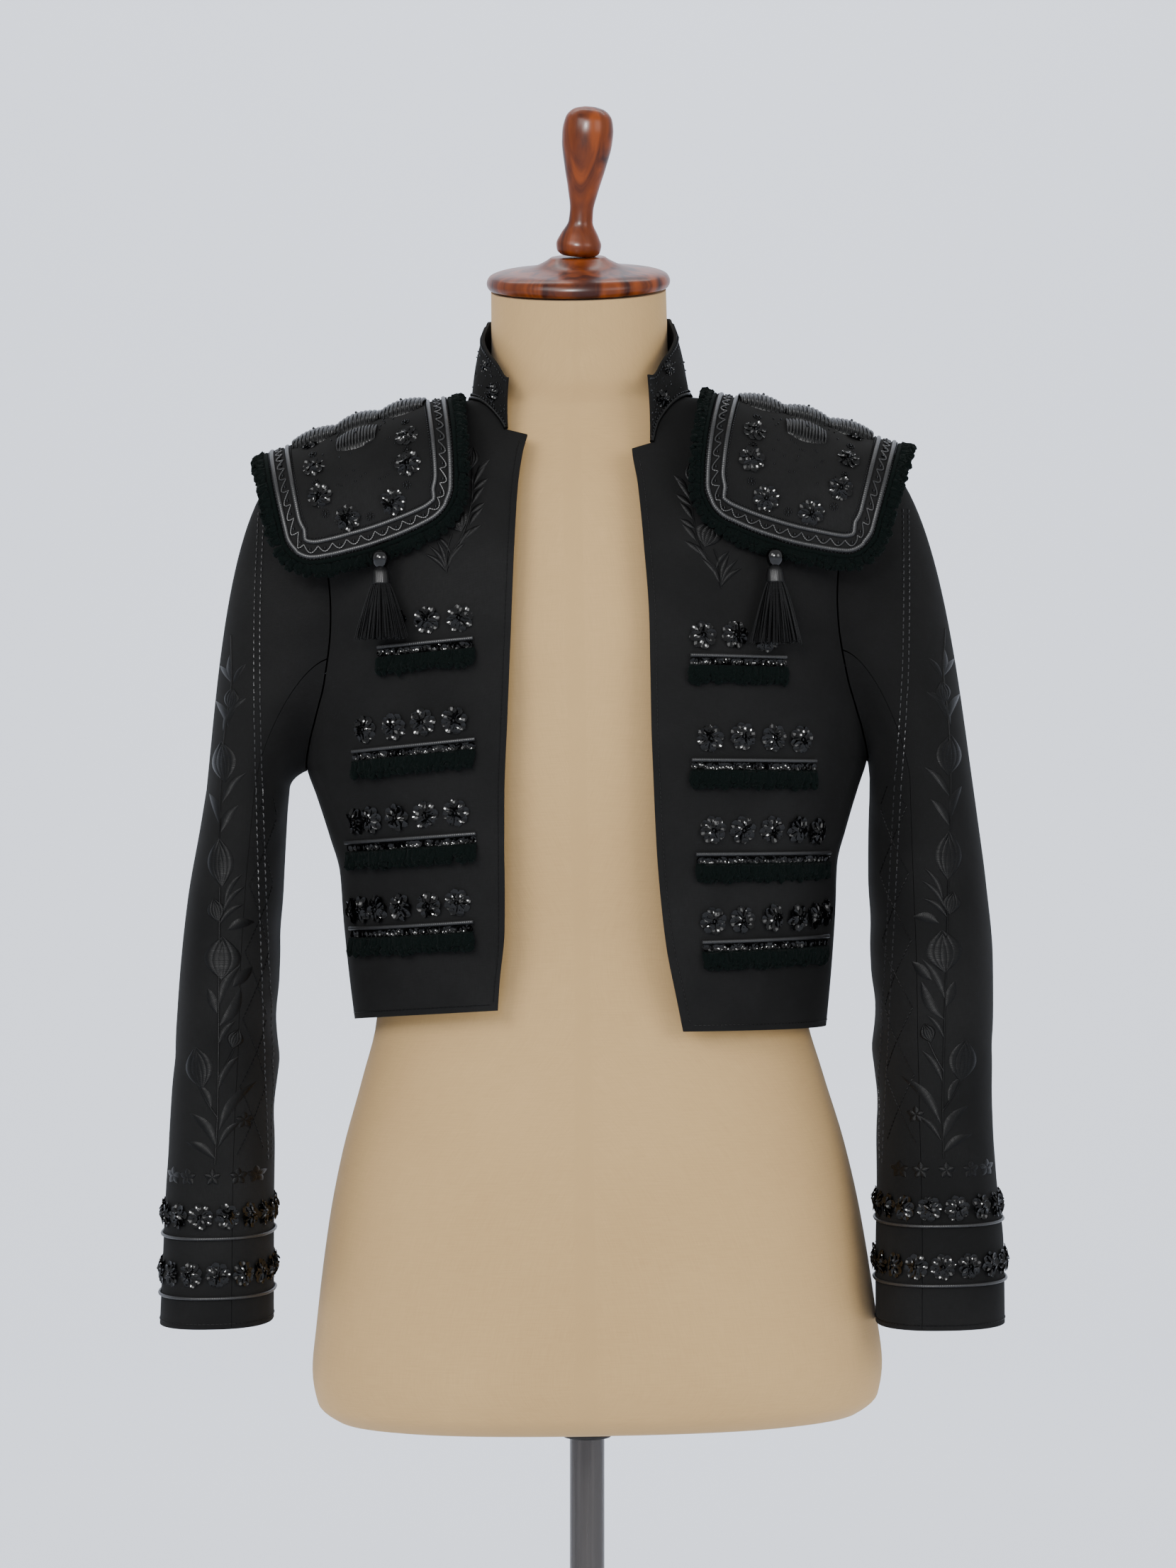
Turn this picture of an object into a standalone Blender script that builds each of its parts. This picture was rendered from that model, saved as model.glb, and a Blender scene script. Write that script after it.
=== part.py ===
# Matador jacket on a limbless dress form: cut-away fronts, stand collar, draped shoulder pieces.
# Metres, Z up. The front faces -Y and the wearer's left is +X.
# The origin is the centre of the round base's underside, where the stand meets the floor.
import math
from functools import partial

import bmesh
import bpy
import numpy as np
from mathutils import Matrix

# Driving dimensions
WALL = 0.0020  # cloth with its interlining
SEAM_GAP = 0.0004  # clear space between neighbouring pieces
SQUARENESS = 2.4  # 2 is an ellipse, more is boxier
SIDE_SEAM_MARGIN = 0.05  # degrees either side of the side and shoulder seams
FORM_LEAN = 1.0  # degrees the form leans on its pole
LEAN_PIVOT_HEIGHT = 0.9045

UNDERARM = 0.917  # height of the underarm point
SHOULDER_TIP = 1.138
NECK_SIDE = 1.1745
ARMHOLE_CURVE = 0.14  # how far the armhole cuts in, as a share of the half width
SLEEVE_STANDOFF = 0.0011  # the sleeve starts this far outside the body

BASE_RADIUS = 0.190
BASE_HEIGHT = 0.018
POLE_RADIUS = 0.0123
FERRULE_RADIUS = 0.0168
FERRULE_HEIGHT = 0.0125
FERRULE_GAP = 0.0007  # below the leaning form
METAL_GAP = 0.0003
FORM_BOTTOM = 0.4570
NECK_TOP_HEIGHT = 1.2500
NECK_TOP_CENTRE = -0.0210
NECK_TOP_SLANT = 13.0  # degrees, lower at the front
NECK_RADIUS = 0.0613
CAP_HEIGHT = 0.0235
CAP_GAP = 0.0010  # clear space under the leaning finial
FINIAL_LEAN = 5.6  # degrees to the wearer's left of the cap's axis


def rows(names, table):
    """Named columns of a small table."""
    return dict(zip(names.split(), np.array(table, float).T))


# Outer surface of the jacket's body, section by section
JACKET = rows("height half_width front side back", [
    (0.7250, 0.1645, -0.114, 0.000, 0.108),
    (0.7700, 0.1695, -0.118, 0.000, 0.111),
    (0.8100, 0.1730, -0.122, 0.000, 0.115),
    (0.8450, 0.1755, -0.126, 0.000, 0.119),
    (0.8700, 0.1825, -0.129, 0.000, 0.123),
    (0.9000, 0.1915, -0.131, 0.000, 0.127),
    (0.9200, 0.1975, -0.132, 0.000, 0.129),
    (0.9600, 0.2005, -0.133, 0.001, 0.132),
    (1.0000, 0.2015, -0.131, 0.002, 0.133),
    (1.0400, 0.2020, -0.126, 0.003, 0.130),
    (1.0800, 0.2020, -0.116, 0.003, 0.121),
    (1.1100, 0.2015, -0.104, 0.003, 0.108),
    (1.1300, 0.2005, -0.094, 0.002, 0.096),
    (1.1380, 0.1985, -0.089, 0.001, 0.089),
    (1.1470, 0.1810, -0.083, 0.000, 0.081),
    (1.1550, 0.1580, -0.078, -0.002, 0.074),
    (1.1630, 0.1300, -0.075, -0.004, 0.068),
    (1.1700, 0.1025, -0.075, -0.005, 0.064),
    (1.1745, 0.0770, -0.076, -0.006, 0.061),
])

# The dress form under it; its shoulders carry the jacket
FORM = rows("height half_width front side back", [
    (0.4570, 0.1650, -0.083, 0.000, 0.090),
    (0.4612, 0.1830, -0.103, 0.000, 0.108),
    (0.4735, 0.1970, -0.115, 0.000, 0.120),
    (0.4960, 0.2005, -0.120, 0.000, 0.125),
    (0.5250, 0.1975, -0.120, 0.000, 0.126),
    (0.6000, 0.1870, -0.116, 0.000, 0.124),
    (0.6500, 0.1765, -0.111, 0.000, 0.117),
    (0.7000, 0.1620, -0.104, 0.000, 0.106),
    (0.7425, 0.1510, -0.099, 0.000, 0.098),
    (0.7900, 0.1480, -0.097, 0.000, 0.096),
    (0.8500, 0.1560, -0.105, 0.000, 0.102),
    (0.9200, 0.1660, -0.113, 0.000, 0.111),
    (1.0000, 0.1720, -0.115, 0.001, 0.115),
    (1.0500, 0.1740, -0.107, 0.002, 0.111),
    (1.0900, 0.1780, -0.095, 0.002, 0.099),
    (1.1150, 0.1770, -0.085, 0.002, 0.088),
    (1.1350, 0.1680, -0.075, 0.000, 0.075),
    (1.1522, 0.1560, -0.068, -0.002, 0.065),
    (1.1602, 0.1290, -0.066, -0.004, 0.061),
    (1.1672, 0.1010, -0.065, -0.005, 0.057),
    (1.1725, 0.0740, -0.066, -0.006, 0.054),
    (1.1820, 0.0650, -0.069, -0.007, 0.053),
    (1.2050, 0.0620, -0.073, -0.011, 0.049),
])

# Distance of each front edge from the middle, right and left front
FRONT_EDGE = rows("height right left", [
    (0.7300, 0.0640, 0.0652),
    (0.7620, 0.0617, 0.0590),
    (0.8000, 0.0577, 0.0518),
    (0.8500, 0.0568, 0.0472),
    (0.9000, 0.0560, 0.0452),
    (0.9500, 0.0532, 0.0441),
    (1.0100, 0.0498, 0.0441),
    (1.0700, 0.0465, 0.0411),
    (1.1100, 0.0436, 0.0380),
    (1.1335, 0.0400, 0.0347),
    (1.1450, 0.0368, 0.0345),
])
NOTCH_STEP = 0.0040
NOTCH = {-1: 1.1450, 1: 1.1335}  # height of the notch below the collar, right and left
HEM_FRONT = {-1: 0.7516, 1: 0.7350}
HEM_SIDE = {-1: 0.7420, 1: 0.7320}
NECKLINE = rows("height across", [
    (1.1370, 0.0480),
    (1.1500, 0.0515),
    (1.1630, 0.0600),
    (1.1700, 0.0680),
    (1.1720, 0.0725),
    (1.1735, 0.0755),
    (1.1745, 0.0768),
])

# Top edge of the stand collar by the angle round the neck from the middle front
COLLAR = rows("around top lean", [
    (30, 1.1840, 0.0020),
    (40, 1.1850, 0.0020),
    (50, 1.1990, 0.0040),
    (65, 1.2155, 0.0080),
    (90, 1.2310, 0.0125),
    (130, 1.2345, 0.0125),
    (180, 1.2345, 0.0120),
])

COLLAR_LIFT = 0.0006  # clear space over the neckline
COLLAR_SPRING = 0.0012  # outward curve halfway up
NECK_ROUND = (0.077, 0.090)  # half the neckline's width and depth, for the angle round the neck

# Sleeve sections: how far out each side of the sleeve hangs, and its front and back
SLEEVE = rows("height right_outer right_inner left_outer left_inner front back", [
    (0.5200, 0.3036, 0.2248, 0.2830, 0.1940, -0.102, 0.012),
    (0.5800, 0.3005, 0.2244, 0.2838, 0.1957, -0.099, 0.026),
    (0.6300, 0.2980, 0.2240, 0.2800, 0.1980, -0.096, 0.040),
    (0.6800, 0.2950, 0.2226, 0.2790, 0.1985, -0.090, 0.056),
    (0.7300, 0.2910, 0.2197, 0.2810, 0.1973, -0.089, 0.063),
    (0.7800, 0.2870, 0.2185, 0.2820, 0.1970, -0.087, 0.070),
    (0.8300, 0.2810, 0.2160, 0.2785, 0.1973, -0.085, 0.076),
    (0.8800, 0.2715, 0.2130, 0.2730, 0.1988, -0.083, 0.081),
    (0.9050, 0.2670, 0.2107, 0.2700, 0.2000, -0.082, 0.082),
])
CUFF_HEIGHT = {-1: 0.5370, 1: 0.5275}
SLEEVE_TOP = 0.9050  # above this the sleeve head turns in to the armhole
TOPSLEEVE = (-0.30, 0.30)  # turns round the sleeve, 0 outside, 0.25 front
UNDERSLEEVE = (0.30, 0.70)
TOPSLEEVE_COLUMNS = 13
UNDERSLEEVE_COLUMNS = 9
SLEEVE_SEAM_MARGIN = 0.0008  # turns
# Soft troughs pressed into the sleeves where the arm bends
SLEEVE_FOLDS = rows("turn height width tall deep", [
    (0.50, 0.745, 0.16, 0.020, 0.0035),
    (0.44, 0.805, 0.12, 0.016, 0.0025),
    (0.60, 0.680, 0.13, 0.018, 0.0025),
    (0.92, 0.990, 0.10, 0.022, 0.0020),
])
# Hollows in the back and under the arms, by the angle round the body
BODY_FOLDS = rows("around height wide tall deep", [
    (180, 0.820, 9.0, 0.075, 0.0050),
    (128, 0.900, 7.0, 0.060, 0.0035),
    (228, 0.890, 8.0, 0.070, 0.0040),
    (84, 0.870, 5.0, 0.030, 0.0020),
    (276, 0.880, 5.0, 0.035, 0.0022),
])

# Shoulder pieces: a stiff plate arched over the shoulder
PLATE_THICKNESS = 0.0035
PLATE_LIFT = 0.0007  # clear space over the shoulder seam
PLATE_MIDDLE = {-1: 0.1560, 1: 0.1592}  # on the ridge, right and left
PLATE_SWING = {-1: 0.0122, 1: 0.0205}  # how far the front and back edges lie nearer the neck
PLATE_SWING_POWER = 1.5
PLATE_HALF_LENGTH = 0.0620
PLATE_DROP = {-1: 0.0947, 1: 0.0985}
PLATE_SQUARENESS = 3.2
PLATE_HALF_DEPTH = (0.120, 0.104)  # at the neck end and at the outer end
PLATE_DEPTH_CENTRE = 0.004
PLATE_CORNER = 0.40  # 0 is a square corner, 1 makes the whole outline round
PLATE_BORDER_RIDGE = 0.0016
SHOULDER_RIDGE = rows("across height", [
    (0.0770, 1.1745),
    (0.1025, 1.1700),
    (0.1300, 1.1630),
    (0.1580, 1.1550),
    (0.1810, 1.1470),
    (0.2270, 1.1332),
])
# Coiled purl flowers raised on the plate
PLATE_MOUNDS = rows("along round size tall", [
    (0.00, 0.30, 0.22, 0.0040),
    (-0.50, 0.02, 0.20, 0.0060),
    (0.02, 0.02, 0.20, 0.0060),
    (0.52, 0.02, 0.20, 0.0060),
])
PLATE_FRINGE = 0.0052
PLATE_FRINGE_NECK = 0.0036
CORD_WIDTH = 0.0028
CORD_RISE = 0.0012  # over and under the plate's surface
CORD_SINK = 0.0028
CORD_GAP = 0.0006  # between the plate's edge and its cord
NECK_SHARE = 0.17  # the short loops start this far from the neck end, the plate's half length is 1

# Braid bars on the fronts: the ends of each bar's top edge
BRAIDS = rows("side inner_x inner_height outer_x outer_height", [
    (-1, 0.0752, 1.0044, 0.1401, 0.9998),
    (-1, 0.0750, 0.9363, 0.1592, 0.9295),
    (-1, 0.0756, 0.8725, 0.1660, 0.8673),
    (-1, 0.0786, 0.8126, 0.1650, 0.8073),
    (1, 0.0710, 0.9903, 0.1362, 0.9882),
    (1, 0.0707, 0.9197, 0.1558, 0.9177),
    (1, 0.0725, 0.8559, 0.1660, 0.8547),
    (1, 0.0758, 0.7959, 0.1640, 0.7963),
])
BRAID_LOOP = 0.0110
BRAID_LOOP_PROUD = 0.0026
BRAID_LIFT = 0.0006  # clear space over the front
BRAID_BAND = 0.0075  # height of the cord and the band under it
BRAID_CORD_SHARE = 0.42
BRAID_CORD_PROUD = 0.0026
BRAID_BAND_PROUD = 0.0018
BRAID_CELLS = 13
LOOP_TIP_WIDTH = 0.72  # shares of the loop's root
LOOP_BELLY_WIDTH = 1.06
LOOP_BELLY = 0.45  # where the loop is widest, a share of its length
PIPING_HEIGHT = 0.558
PIPING_RADIUS = 0.0011

# Tassels hang in front of the shoulder pieces
# and sit against their fringe, set back from the plate's front by the third column
TASSELS = rows("side across set_back top length", [
    (-1, 0.1375, 0.0010, 1.0655, 0.0600),
    (1, 0.1300, 0.0018, 1.0620, 0.0640),
])
TASSEL_HEAD_RADIUS = 0.0062
TASSEL_CLEARANCE = 0.0016  # in front of the plate, before the set back
TASSEL_FLARE = 0.0172
TASSEL_CORE = 0.0040
TASSEL_HOLLOW = 0.55  # inner radius of the skirt's foot, a share of the flare
TASSEL_FLATNESS = 0.45
TASSEL_LAY = 0.16  # how far the skirt swings forward over the chest, metres a metre


def along(table, name, at):
    """Smooth curve through one column, flat where the column turns, so that it never overshoots."""
    keys = list(table)
    x = table[keys[0]]
    y = table[name]
    step = np.diff(x)
    rise = np.diff(y) / step
    slope = np.zeros(len(x))
    both = rise[:-1] * rise[1:]
    total = rise[:-1] + rise[1:]
    slope[1:-1] = np.where(both > 0, 2 * both / np.where(total == 0, 1, total), 0)
    slope[0] = rise[0]
    slope[-1] = rise[-1]
    at = np.clip(np.asarray(at, float), x[0], x[-1])
    i = np.clip(np.searchsorted(x, at) - 1, 0, len(step) - 1)
    t = (at - x[i]) / step[i]
    start = (1 + 2 * t) * (1 - t) ** 2 * y[i] + t * (1 - t) ** 2 * step[i] * slope[i]
    end = t * t * (3 - 2 * t) * y[i + 1] + t * t * (t - 1) * step[i] * slope[i + 1]
    return start + end


def unit(vectors):
    length = np.linalg.norm(vectors, axis=-1, keepdims=True)
    return vectors / np.maximum(length, 1e-12)


def surface_normals(surface, first, second, step):
    """Direction square to a surface of two parameters, from its slopes along each."""
    along_first = surface(first + step[0], second) - surface(first - step[0], second)
    along_second = surface(first, second + step[1]) - surface(first, second - step[1])
    return unit(np.cross(along_first, along_second))


def body_point(table, around, height):
    """Point on a section: 0 degrees is the middle front, 90 the wearer's left, 180 the back."""
    around = np.radians(around)
    height = np.asarray(height, float)
    sine = np.sin(around)
    cosine = np.cos(around)
    half = along(table, "half_width", height)
    side = along(table, "side", height)
    front = along(table, "front", height) - side
    back = along(table, "back", height) - side
    power = 2 / SQUARENESS
    x = half * np.sign(sine) * np.abs(sine) ** power
    y = side + np.where(cosine > 0, front, back) * np.abs(cosine) ** power
    return np.stack(np.broadcast_arrays(x, y, height), axis=-1)


def jacket_point(around, height):
    """Point on the jacket's outside, with its soft hollows."""
    point = body_point(JACKET, around, height)
    turn = np.mod(around, 360)
    press = np.zeros(point.shape[:-1])
    for centre, level, wide, tall, deep in zip(*BODY_FOLDS.values()):
        spread = ((turn - centre) / wide) ** 2 + ((height - level) / tall) ** 2
        press = press + deep * np.exp(-spread)
    inward = unit(point * np.array([1.0, 1.0, 0.0]))
    return point - inward * press[..., None]


def around_at(across, height):
    """Angle from the middle front at which the body reaches a distance to the side."""
    share = np.clip(across / along(JACKET, "half_width", height), 0, 1)
    return np.degrees(np.arcsin(share ** (SQUARENESS / 2)))


def armhole_across(height):
    """Distance from the middle of the body's outer edge, cut in at the armhole."""
    share = np.clip((height - UNDERARM) / (SHOULDER_TIP - UNDERARM), 0, 1)
    half = along(JACKET, "half_width", height)
    return half * (1 - ARMHOLE_CURVE * np.sin(math.pi * share))


def armhole_point(side, turn):
    """Point on the armhole's edge: turn 0 is the shoulder tip, 0.25 the front, 0.5 the underarm."""
    middle = (SHOULDER_TIP + UNDERARM) / 2
    half = (SHOULDER_TIP - UNDERARM) / 2
    height = middle + half * np.cos(2 * math.pi * turn)
    angle = around_at(armhole_across(height), height)
    front = np.sin(2 * math.pi * turn) >= 0
    angle = np.where(front, angle, 180 - angle)
    return jacket_point(side * angle, height)


def sleeve_point(side, turn, rise):
    """Point on a sleeve: rise 0 is the cuff, 1 the top of the straight part, 2 the armhole."""
    name = "right" if side < 0 else "left"
    height = CUFF_HEIGHT[side] + (SLEEVE_TOP - CUFF_HEIGHT[side]) * np.clip(rise, 0, 1)
    outer = along(SLEEVE, name + "_outer", height)
    inner = along(SLEEVE, name + "_inner", height)
    front = along(SLEEVE, "front", height)
    back = along(SLEEVE, "back", height)
    cosine = np.cos(2 * math.pi * turn)
    sine = np.sin(2 * math.pi * turn)
    power = 2 / SQUARENESS
    across = (outer + inner) / 2 + (outer - inner) / 2 * np.sign(cosine) * np.abs(cosine) ** power
    depth = (front + back) / 2 + (front - back) / 2 * np.sign(sine) * np.abs(sine) ** power
    x, y, z = np.broadcast_arrays(side * across, depth, height)
    tube = np.stack([x, y, z], axis=-1)
    press = np.zeros(tube.shape[:-1])
    for centre, level, wide, tall, deep in zip(*SLEEVE_FOLDS.values()):
        away = np.mod(turn - centre + 0.5, 1) - 0.5
        press = press + deep * np.exp(-((away / wide) ** 2) - ((height - level) / tall) ** 2)
    middle = np.stack([side * (outer + inner) / 2 + 0 * x, (front + back) / 2 + 0 * y, z], axis=-1)
    tube = tube - unit(tube - middle) * press[..., None]
    end = armhole_point(side, np.broadcast_to(turn, x.shape)) + np.array([side * SLEEVE_STANDOFF, 0, 0])
    reach = np.linalg.norm(end - tube, axis=-1, keepdims=True)
    leave = tube + reach * np.array([-0.04 * side, 0, 0.33])
    arrive = end + reach * np.array([0.20 * side, 0, -0.06])
    t = np.clip(rise - 1, 0, 1)
    t = np.broadcast_to(t, x.shape)[..., None]
    head = (1 - t) ** 3 * tube + 3 * t * (1 - t) ** 2 * leave + 3 * t * t * (1 - t) * arrive + t ** 3 * end
    return head


def new_object(name, vertices, faces, colour, roughness, metallic, smooth=True):
    """One closed body with its own Principled material."""
    mesh = bpy.data.meshes.new(name)
    mesh.from_pydata([tuple(map(float, v)) for v in vertices], [], faces)
    mesh.validate()
    solid = bmesh.new()
    solid.from_mesh(mesh)
    bmesh.ops.triangulate(solid, faces=solid.faces)
    bmesh.ops.recalc_face_normals(solid, faces=solid.faces)
    solid.to_mesh(mesh)
    solid.free()
    if smooth:
        mesh.shade_smooth()
        mesh.set_sharp_from_angle(angle=math.radians(40))
    material = bpy.data.materials.new(name)
    material.use_nodes = True
    shader = material.node_tree.nodes["Principled BSDF"]
    shader.inputs["Base Color"].default_value = (*colour, 1.0)
    shader.inputs["Roughness"].default_value = roughness
    shader.inputs["Metallic"].default_value = metallic
    mesh.materials.append(material)
    obj = bpy.data.objects.new(name, mesh)
    bpy.context.scene.collection.objects.link(obj)
    return obj


def shell_solid(outer, inner):
    """Vertices and faces of a closed panel between an outer and an inner grid."""
    high, wide = outer.shape[:2]
    vertices = np.concatenate([outer.reshape(-1, 3), inner.reshape(-1, 3)])
    shift = high * wide
    faces = []
    for i in range(high - 1):
        for j in range(wide - 1):
            quad = (i * wide + j, i * wide + j + 1, (i + 1) * wide + j + 1, (i + 1) * wide + j)
            faces.append(quad)
            faces.append(tuple(shift + k for k in reversed(quad)))
    rim = list(range(wide))
    rim += [i * wide + wide - 1 for i in range(1, high)]
    rim += [(high - 1) * wide + j for j in range(wide - 2, -1, -1)]
    rim += [i * wide for i in range(high - 2, 0, -1)]
    for a, b in zip(rim, rim[1:] + rim[:1]):
        faces.append((b, a, shift + a, shift + b))
    return vertices, faces


CLOTH = ((0.020, 0.020, 0.021), 0.85, 0.0)
SATIN = ((0.030, 0.031, 0.033), 0.45, 0.0)
CHENILLE = ((0.014, 0.020, 0.018), 0.95, 0.0)
SILK = ((0.012, 0.012, 0.013), 0.35, 0.0)
LINEN = ((0.56, 0.43, 0.27), 0.90, 0.0)
WOOD = ((0.25, 0.075, 0.020), 0.22, 0.0)
STEEL = ((0.10, 0.09, 0.085), 0.25, 1.0)
IRON = ((0.035, 0.033, 0.032), 0.45, 0.6)


def cloth_panel(name, surface, first, second, step, flip):
    """A wall of cloth on a surface; flip turns the surface's normals outwards."""
    first, second = np.broadcast_arrays(first, second)
    outer = surface(first, second)
    normal = surface_normals(surface, first, second, step) * flip
    vertices, faces = shell_solid(outer, outer - normal * WALL)
    return new_object(name, vertices, faces, *CLOTH)


def lifted(height, hem):
    """Raise the lowest rows to a hem that isn't level, fading out at the underarm."""
    share = np.clip((UNDERARM - height) / (UNDERARM - HEM_SIDE[-1]), 0, 1)
    return height + share * (hem - HEM_SIDE[-1])


BODY_STEP = (1.0, 0.0015)  # degrees and metres over which a slope is taken
SLEEVE_STEP = (0.004, 0.01)
LOWER_ROWS = np.array([HEM_SIDE[-1], 0.776, 0.810, 0.836, 0.855, 0.872, 0.895, UNDERARM])
ARMHOLE_ROWS = np.array([0.950, 0.990, 1.030, 1.070, 1.100, 1.125])
NECK_ROWS = np.array([1.155, 1.163, 1.168, 1.171, 1.173, 1.1745])
ROW_UNDER_LOW_NOTCH = 1.118
SHOULDER_ROWS = np.concatenate([[1.138, 1.147], NECK_ROWS])


def rows_above_notch(side):
    return SHOULDER_ROWS[SHOULDER_ROWS > NOTCH[side] + NOTCH_STEP + 0.001]


def front_panel(side):
    notch = NOTCH[side]
    low = ARMHOLE_ROWS if notch > SHOULDER_TIP else ARMHOLE_ROWS[:-1]
    extra = [SHOULDER_TIP] if notch > SHOULDER_TIP else [ROW_UNDER_LOW_NOTCH]
    heights = np.concatenate([LOWER_ROWS, low, extra, [notch, notch + NOTCH_STEP], rows_above_notch(side)])
    edge = along(FRONT_EDGE, "right" if side < 0 else "left", heights)
    neck = along(NECKLINE, "across", heights)
    start = around_at(np.where(heights > notch + NOTCH_STEP / 2, neck, edge), heights)
    end = np.minimum(around_at(armhole_across(heights), heights), 90 - SIDE_SEAM_MARGIN)
    share = np.linspace(0, 1, 9)
    angle = start[:, None] + (end - start)[:, None] * share
    hem = HEM_FRONT[side] + (HEM_SIDE[side] - HEM_FRONT[side]) * share
    height = lifted(heights[:, None] + 0 * angle, hem[None, :])
    name = "front_right" if side < 0 else "front_left"
    cloth_panel(name, jacket_point, side * angle, height, BODY_STEP, 1)


def back_panel():
    heights = np.concatenate([LOWER_ROWS, ARMHOLE_ROWS, SHOULDER_ROWS])
    end = np.minimum(around_at(armhole_across(heights), heights), 90 - SIDE_SEAM_MARGIN)
    share = np.linspace(0, 1, 15)
    angle = (180 - end)[:, None] + (2 * end)[:, None] * share
    hem = HEM_SIDE[1] + (HEM_SIDE[-1] - HEM_SIDE[1]) * share
    height = lifted(heights[:, None] + 0 * angle, hem[None, :])
    cloth_panel("back", jacket_point, angle, height, BODY_STEP, 1)


def neckline_points(side):
    """The front neckline from the notch to the neck side."""
    height = np.concatenate([[NOTCH[side] + NOTCH_STEP], rows_above_notch(side)])
    angle = around_at(along(NECKLINE, "across", height), height)
    return jacket_point(side * angle, height)


def stand_collar():
    back = jacket_point(np.linspace(98, 262, 12), NECK_SIDE)
    base = np.concatenate([neckline_points(1), back, neckline_points(-1)[::-1]])
    base[:, 2] += COLLAR_LIFT
    centre = np.array([0.0, along(JACKET, "side", NECK_SIDE), 0.0])
    plan = (base - centre) * np.array([1.0, 1.0, 0.0])
    around = np.degrees(np.arctan2(np.abs(plan[:, 0]) / NECK_ROUND[0], -plan[:, 1] / NECK_ROUND[1]))
    top = base - unit(plan) * along(COLLAR, "lean", around)[:, None]
    top[:, 2] = along(COLLAR, "top", around)
    share = np.array([0.0, 0.5, 1.0])[:, None, None]
    outward = unit(plan)
    outer = base + (top - base) * share + outward * COLLAR_SPRING * np.sin(math.pi * share)
    vertices, faces = shell_solid(outer, outer - outward * WALL)
    new_object("collar", vertices, faces, *CLOTH)


SLEEVE_RISES = np.array([0, 0.12, 0.25, 0.38, 0.5, 0.56, 0.64, 0.76, 0.88, 1, 1.25, 1.5, 1.75, 2])


def sleeve_turns(limits, count):
    return np.linspace(limits[0] + SLEEVE_SEAM_MARGIN, limits[1] - SLEEVE_SEAM_MARGIN, count)


def sleeve(side):
    name = "right" if side < 0 else "left"
    surface = partial(sleeve_point, side)
    pieces = (("topsleeve", TOPSLEEVE, TOPSLEEVE_COLUMNS), ("undersleeve", UNDERSLEEVE, UNDERSLEEVE_COLUMNS))
    for piece, limits, count in pieces:
        turns = sleeve_turns(limits, count)
        cloth_panel(piece + "_" + name, surface, turns[None, :], SLEEVE_RISES[:, None], SLEEVE_STEP, -side)


def cuff_piping(side, height, name):
    """A thin cord round the cuff, three sided, on the sleeve's own corners."""
    inner = sleeve_turns(UNDERSLEEVE, UNDERSLEEVE_COLUMNS)[1:-1]
    turns = np.concatenate([sleeve_turns(TOPSLEEVE, TOPSLEEVE_COLUMNS), inner])
    rise = (height - CUFF_HEIGHT[side]) / (SLEEVE_TOP - CUFF_HEIGHT[side])
    ring = sleeve_point(side, turns, rise)
    tangent = unit(np.roll(ring, -1, axis=0) - np.roll(ring, 1, axis=0))
    outward = unit(np.cross(tangent, [0, 0, 1.0])) * -side
    upward = np.array([0, 0, 1.0])
    centre = ring + outward * (PIPING_RADIUS + SEAM_GAP)
    corners = []
    for degrees in (0, 120, 240):
        angle = math.radians(degrees)
        corners.append(centre + (outward * math.cos(angle) + upward * math.sin(angle)) * PIPING_RADIUS)
    vertices = np.stack(corners, axis=1).reshape(-1, 3)
    count = len(ring)
    faces = []
    for i in range(count):
        k = (i + 1) % count
        for j in range(3):
            m = (j + 1) % 3
            faces.append((i * 3 + j, k * 3 + j, k * 3 + m, i * 3 + m))
    new_object(name, vertices, faces, *SATIN)


def looped_strip(profile, loops, closed):
    """A backing strip with a loop of yarn hanging from every other cell of its lower face.

    profile holds the strip's corners at each station, the lower face lies between the last two,
    and loops gives each station's hanging direction and length as one vector.
    """
    stations, corners = profile.shape[:2]
    vertices = [tuple(p) for p in profile.reshape(-1, 3)]
    faces = []
    cells = stations if closed else stations - 1
    for i in range(cells):
        k = (i + 1) % stations
        for j in range(corners):
            m = (j + 1) % corners
            quad = (i * corners + j, k * corners + j, k * corners + m, i * corners + m)
            if j != corners - 2 or i % 2:
                faces.append(quad)
                continue
            root = np.array([vertices[n] for n in quad])
            drop = (loops[i] + loops[k]) / 2
            middle = root.mean(axis=0)
            tip = middle + (root - middle) * LOOP_TIP_WIDTH + drop
            belly = middle + (root - middle) * LOOP_BELLY_WIDTH + drop * LOOP_BELLY
            first = len(vertices)
            vertices.extend(map(tuple, belly))
            vertices.extend(map(tuple, tip))
            for n in range(4):
                o = (n + 1) % 4
                faces.append((quad[n], quad[o], first + o, first + n))
                faces.append((first + n, first + o, first + 4 + o, first + 4 + n))
            faces.append(tuple(first + 4 + n for n in range(4)))
    if not closed:
        faces.append(tuple(range(corners)))
        faces.append(tuple((stations - 1) * corners + j for j in reversed(range(corners))))
    return vertices, faces


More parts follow.
